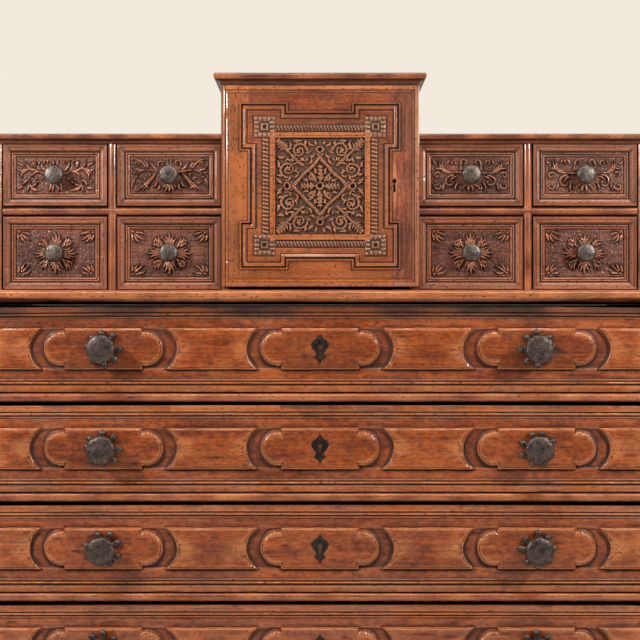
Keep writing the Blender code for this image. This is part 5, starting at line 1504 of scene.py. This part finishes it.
def door_frame_shell(seed):
    """Edge reeds, eared moulding and inner frame, each by its own inset; a later one lies within an earlier.

    The eared outline is a rectangle joined with a square at each corner, so its inset is the larger of
    theirs. The hinge edge is a half circle, by which the door clears the case as it turns.
    """
    a, b = LUG_WIDTH / 2, LUG_HEIGHT / 2
    ear_x, ear_z = a + LUG_PROJECTION, b + LUG_PROJECTION
    from_x, from_z = ear_x - LUG_LENGTH, ear_z - LUG_LENGTH
    edge, lug, inner = map(member_marks, (DOOR_EDGE_MEMBERS, LUG_MEMBERS, INNER_MEMBERS))
    px, pz = PANEL_WIDTH / 2, PANEL_HEIGHT / 2
    key_x = door_half_x - KEYHOLE_FROM_EDGE
    marks_x = np.concatenate([door_half_x - edge, a - lug, ear_x - lug, from_x + lug, px + inner])
    marks_z = np.concatenate([door_half_z - edge, b - lug, ear_z - lug, from_z + lug, pz + inner])
    nose = NOSE * (1 - np.cos(np.linspace(0, pi / 2, 12))) - door_half_x
    joint = door_half_x - STILE + np.array([-0.0002, 0.0002])
    marks_x = [*marks_x, *(-marks_x), *joint, *(-joint)]
    xs = lines(-door_half_x, door_half_x, 0.010, [*marks_x, *(key_x + KEY_LINES), *nose], near=(0.0,))
    zs = lines(-door_half_z, door_half_z, 0.010, [*marks_z, *(-marks_z), *(3.2 * KEY_LINES)], near=(0.0,))
    x, z = np.meshgrid(xs, zs)
    flat = np.stack([x, z], -1)
    to_edge = np.minimum(door_half_x - np.abs(x), door_half_z - np.abs(z))
    depth = moulding(to_edge, DOOR_EDGE_MEMBERS)
    straight = np.minimum(a - np.abs(x), b - np.abs(z))
    ear = np.minimum(
        np.minimum(ear_x - np.abs(x), np.abs(x) - from_x), np.minimum(ear_z - np.abs(z), np.abs(z) - from_z))
    within = np.maximum(straight, ear)
    depth = np.where(within > 0, moulding(within, LUG_MEMBERS), depth)
    beyond = np.maximum(np.abs(x) - px, np.abs(z) - pz)
    depth = np.where(beyond < inner[-1], moulding(beyond, INNER_MEMBERS), depth)
    depth = np.where(beyond <= 0, PANEL_BED, depth)
    depth += 0.0003 * wander(flat, 0.10, seed) + dents(x, z, *DOOR_DENTS, seed + 1)
    eye = np.hypot(x - key_x, z - DOOR_EYE_RISE) < DOOR_EYE_RADIUS
    slot = (np.abs(x - key_x) < DOOR_SLOT_HALF) & (z < DOOR_EYE_RISE) & (z > DOOR_SLOT_FOOT)
    depth = np.where(eye | slot, DOOR_KEYHOLE_DEPTH, depth)
    inset = np.clip(x + door_half_x, 0, NOSE)
    rounding = NOSE - np.sqrt(np.maximum(NOSE ** 2 - (NOSE - inset) ** 2, 0))
    depth = np.maximum(depth, rounding)
    made = relief(xs, zs, np.maximum(depth, 0), 2 * NOSE, on_door, "z", seed)
    points = made["points"]
    across, up = points[:, 0] - door_middle[0], points[:, 2] - door_middle[1]
    back = np.abs(points[:, 1] - (door_low.y + 2 * NOSE)) < 1e-7
    points[back, 1] -= np.interp(across[back], [-door_half_x, NOSE - door_half_x], [NOSE, 0.0])
    rail = np.abs(across) < door_half_x - STILE
    made["grain"][rail] = along_grain(points[rail], "x", seed + 5)
    made["grain"][rail & (up > 0)] += (0.9, 0.4, 0.7)
    made["worn"] += 0.95 * (across < STILE - door_half_x) + 0.70 * (rail & (up < 0))
    made["dull"] += 0.35 * (across > door_half_x - STILE) + 0.15 * (rail & (up > 0))
    made["hollow"] += 0.40 * (across < NOSE - door_half_x)
    # Painted shade on the planted moulding, heavier on its right side and above SHADED_ABOVE, where its wear
    # is cut back.
    planted = (within > 0) & (beyond > inner[-1])
    painted_lug_shade = (planted * (0.14 + 0.16 * ((x > 0) | (z > SHADED_ABOVE)))).ravel()
    made["hollow"][:x.size] += painted_lug_shade
    made["worn"][:x.size] *= 1.0 - 1.5 * painted_lug_shade
    return made


def twist_strip(along, offset, pitch, slant, grimy, seed):
    """A strip of twist: a half-round across, cut by slanting waves along it."""
    half = (PANEL_WIDTH if along == "x" else PANEL_HEIGHT) / 2 + 0.001
    us = np.linspace(-half, half, int(half * 2 / 0.0010))
    vs = np.linspace(-TWIST_WIDTH / 2, TWIST_WIDTH / 2, 15)
    u, v = np.meshgrid(us, vs)
    across = v / (TWIST_WIDTH / 2)
    uneven = 0.0005 * wander(np.stack([u, v], -1), 0.05, seed)
    wave = np.abs(np.sin(pi * (u + slant * across + uneven) / pitch))
    rise = np.sqrt(np.clip(1 - across ** 2, 0, 1)) * (TWIST_LEAST + TWIST_WAVE * wave ** 0.8)
    depth = INNER_GROUND + 0.0002 - rise

    def place(p, q, d):
        """A point of the strip from its place along and across it and its depth."""
        return on_door(p, offset + q, d) if along == "x" else on_door(offset + q, p, d)

    made = relief(us, vs, depth, INNER_GROUND + TWIST_BED, place, along, seed, reach=2, bite=0.0007)
    made["hollow"] += grimy
    return made


def corner_block(sx, sz, seed):
    """A carved block: scallops round its border, as a leaf edge, about a raised square with a sunk middle.

    Each is a step or a cosine of the larger or the smaller of a point's two distances from the middle.
    """
    side = lines(-BLOCK / 2, BLOCK / 2, CARVED_PITCH)
    u, v = np.meshgrid(side, side)
    big, small = np.maximum(np.abs(u), np.abs(v)), np.minimum(np.abs(u), np.abs(v))
    out = np.clip((BLOCK / 2 - big) / BLOCK_SLOPE, 0, 1)
    scallop = np.abs(np.cos(pi * small / SCALLOP_PITCH))
    band = np.clip(1 - np.abs(big - SCALLOP_MIDDLE) / SCALLOP_HALF, 0, 1) ** 0.6
    square = np.clip((SQUARE_HALF - big) / BLOCK_SLOPE, 0, 1)
    well = np.clip((WELL_HALF - big) / BLOCK_SLOPE, 0, 1)
    rise = BLOCK_RISE * out
    rise += SCALLOP_RISE * band * scallop ** 0.7 * out
    rise += SQUARE_RISE * square - WELL_DEPTH * well
    rise += 0.00025 * wander(np.stack([u, v], -1), 0.008, seed)
    middle_x, middle_z = sx * (PANEL_WIDTH + BLOCK) / 2, sz * (PANEL_HEIGHT + BLOCK) / 2
    depth = INNER_GROUND - np.maximum(rise, 0)

    def place(p, q, d):
        """A point of the block from its place across, its height and its depth."""
        return on_door(middle_x + p, middle_z + q, d)

    made = relief(side, side, depth, INNER_GROUND + BLOCK_BED, place, "x", seed, bite=0.0009)
    made["hollow"] += 0.18
    return made


piece("door_frame_moulded", [door_frame_shell(701)], "door", walnut, ["door_frame"])
TWISTS = (
    ("z", PANEL_WIDTH / 2, 0.0084, 0.0013, 0.15, 710),
    ("x", PANEL_HEIGHT / 2, 0.0070, 0.0026, 0.35, 720),
)
twists = []
for side in (-1, 1):
    reach = TWIST_FROM_PANEL + TWIST_WIDTH / 2
    for along, edge, pitch, slant, grimy, seed in TWISTS:
        twists.append(twist_strip(along, side * (edge + reach), pitch, slant, grimy, seed + side))
piece("door_twist_strips", twists, "door", carved_walnut, crease=1.2)
blocks = [corner_block(sx, sz, 730 + 3 * sx + sz) for sx in (-1, 1) for sz in (-1, 1)]
piece("door_corner_blocks", blocks, "door", carved_walnut, crease=1.2)


# The door's panel is carved walnut: a lozenge of ribbed bars with a ring at each point, a rosette of leaves
# in its middle, and a stalk with two scrolls and leaf tips in each corner, on a dark punched ground. These
# sizes are in millimetres.
RINGS = (69.0, 76.0)
PANEL_RELIEF = 6.4
BAR_ENDS = ((58.0, -1.0), (-1.0, 61.0))
BAR_HALF = 4.2
BAR_CLEAR = 5.6
RIB_PITCH = 4.0


def lozenge_and_scrolls(carving):
    """One folded quarter: bar, rings, middle leaves, and the corner's stalk, scrolls and leaves."""
    top = PANEL_RELIEF
    w, h = carving.corner
    east, north = RINGS
    for middle, start, turns in (((44, 75), 3.1, -1.5), ((67, 36), -1.5, 1.5)):
        carving.scroll(middle, 18.0, 4.0, start, turns, 2.6, top * 0.88)
        hand = np.sign(turns)
        for k in range(7):
            angle = start + turns * tau * (0.08 + 0.11 * k)
            root = np.array(middle) + 15.5 * np.array([np.cos(angle), np.sin(angle)])
            angle += 0.75 * hand
            tip = root + 12.0 * np.array([np.cos(angle), np.sin(angle)])
            carving.leaf(root, tip, -0.16 * hand, 2.5, top * 0.9)
        carving.spray(middle, start + turns * 2.2, 10.5, 1.25, 4, 2.4, top * 0.95)
    carving.ridge([(38, 45), (58, 64), (w - 3, h - 4)], (3.4, 2.8, 1.8), top * 0.95, 0.35)
    carving.acanthus((66, 72), (w - 2, h - 2), 0.0, 11.0, top * 0.92, 4)
    carving.leaves((
        ((52, 56), (72, 62), -0.2, 3.2), ((54, 58), (60, 78), 0.2, 3.2), ((74, 62), (91, 64), -0.2, 3.2),
        ((66, 78), (66, 98), 0.2, 3.2), ((27, 46), (20, 62), 0.25, 3.2), ((46, 26), (58, 18), -0.25, 3.2),
        ((22, 62), (12, 70), 0.3, 3.0), ((12, 86), (24, 97), -0.25, 3.4), ((6, 88), (8, 100), -0.2, 3.0),
        ((82, 12), (92, 22), -0.25, 3.2), ((80, 4), (93, 8), 0.2, 3.0), ((64, 12), (74, 16), -0.3, 3.0),
        ((88, 40), (92, 56), 0.2, 2.8), ((40, 96), (54, 99), -0.1, 2.6), ((32, 54), (28, 60), 0.2, 2.6),
        ((56, 30), (49, 40), 0.2, 2.8), ((34, 60), (44, 54), -0.2, 2.8),
    ), top * 0.9, slim=0.85)
    bar = np.array(BAR_ENDS)
    span = bar[1] - bar[0]
    length = np.hypot(*span)
    off = np.array([carving.x - bar[0, 0], carving.z - bar[0, 1]])
    along = (off[0] * span[0] + off[1] * span[1]) / length
    across = np.abs(off[0] * span[1] - off[1] * span[0]) / length
    on_bar = (along > 0) & (along < length) & (across < BAR_CLEAR)
    carving.height = np.where(on_bar, np.minimum(carving.height, 0.4), carving.height)
    ribs = 0.66 + 0.34 * np.abs(np.sin(pi * along / RIB_PITCH))
    ribbed = np.sqrt(np.clip(1 - (across / BAR_HALF) ** 2, 0, 1)) * ribs
    carving.height = np.where(on_bar & (across < BAR_HALF), top * ribbed, carving.height)
    for ray, reach in (((1, 0), 43), ((0, 1), 48)):
        carving.acanthus(8 * np.array(ray), reach * np.array(ray), 0.0, 8.5, top, 4)
    carving.scroll((17, 19), 7.0, 2.4, 3.6, 1.3, 2.2, top * 0.9)
    carving.leaf((9, 9), (27, 30), 0.12, 3.6, top * 0.92)
    carving.leaf((24, 12), (36, 16), -0.2, 3.0, top * 0.85)
    carving.leaf((11, 26), (15, 39), 0.2, 3.0, top * 0.85)
    for middle, root in (((east, 0), (east - 11, 0)), ((0, north), (0, north - 12))):
        carving.spray(root, 0.0 if middle[0] else pi / 2, 19, 1.0, 4, 2.6, top * 0.8)
        carving.eye(middle, 8.8, 4.3, top * 1.04)
    carving.eye((0, 0), 9.4, 4.9, top * 1.04)


def door_panel_shell(seed):
    """The carving over an even grid, drawn for one quarter, standing up from a sunk ground."""
    half_x, half_z = PANEL_WIDTH / 2 - 0.0003, PANEL_HEIGHT / 2 - 0.0003
    xs, zs = lines(-half_x, half_x, 0.00064), lines(-half_z, half_z, 0.00066)
    x, z = np.meshgrid(xs, zs)
    flat = np.stack([x, z], -1)
    bent_x, bent_z = free_hand(flat, 0.0012, 0.06, 0.014, seed)
    carving = Carving(np.abs(bent_x), np.abs(bent_z), half_x, half_z)
    lozenge_and_scrolls(carving)
    carving.punched(0.34, seed)
    depth = PANEL_GROUND - carving.height / 1000
    made = relief(xs, zs, depth, PANEL_BED - 0.0001, on_door, "z", seed, reach=5, bite=0.0018)
    # Grime and painted shade on the sunk ground, the lower the darker.
    low = np.clip(1.25 - carving.height.ravel() / 2.6, 0, 1) * 0.60
    count = low.size
    made["hollow"][:count] = np.maximum(made["hollow"][:count], low)
    return made


panel = door_panel_shell(751)
piece("door_panel_carved", [panel], "door", carved_walnut, ["door_panel"], crease=1.3)
for node in ("door_lock", "door_pivot_upper", "door_pivot_lower"):
    refinish(node, iron)
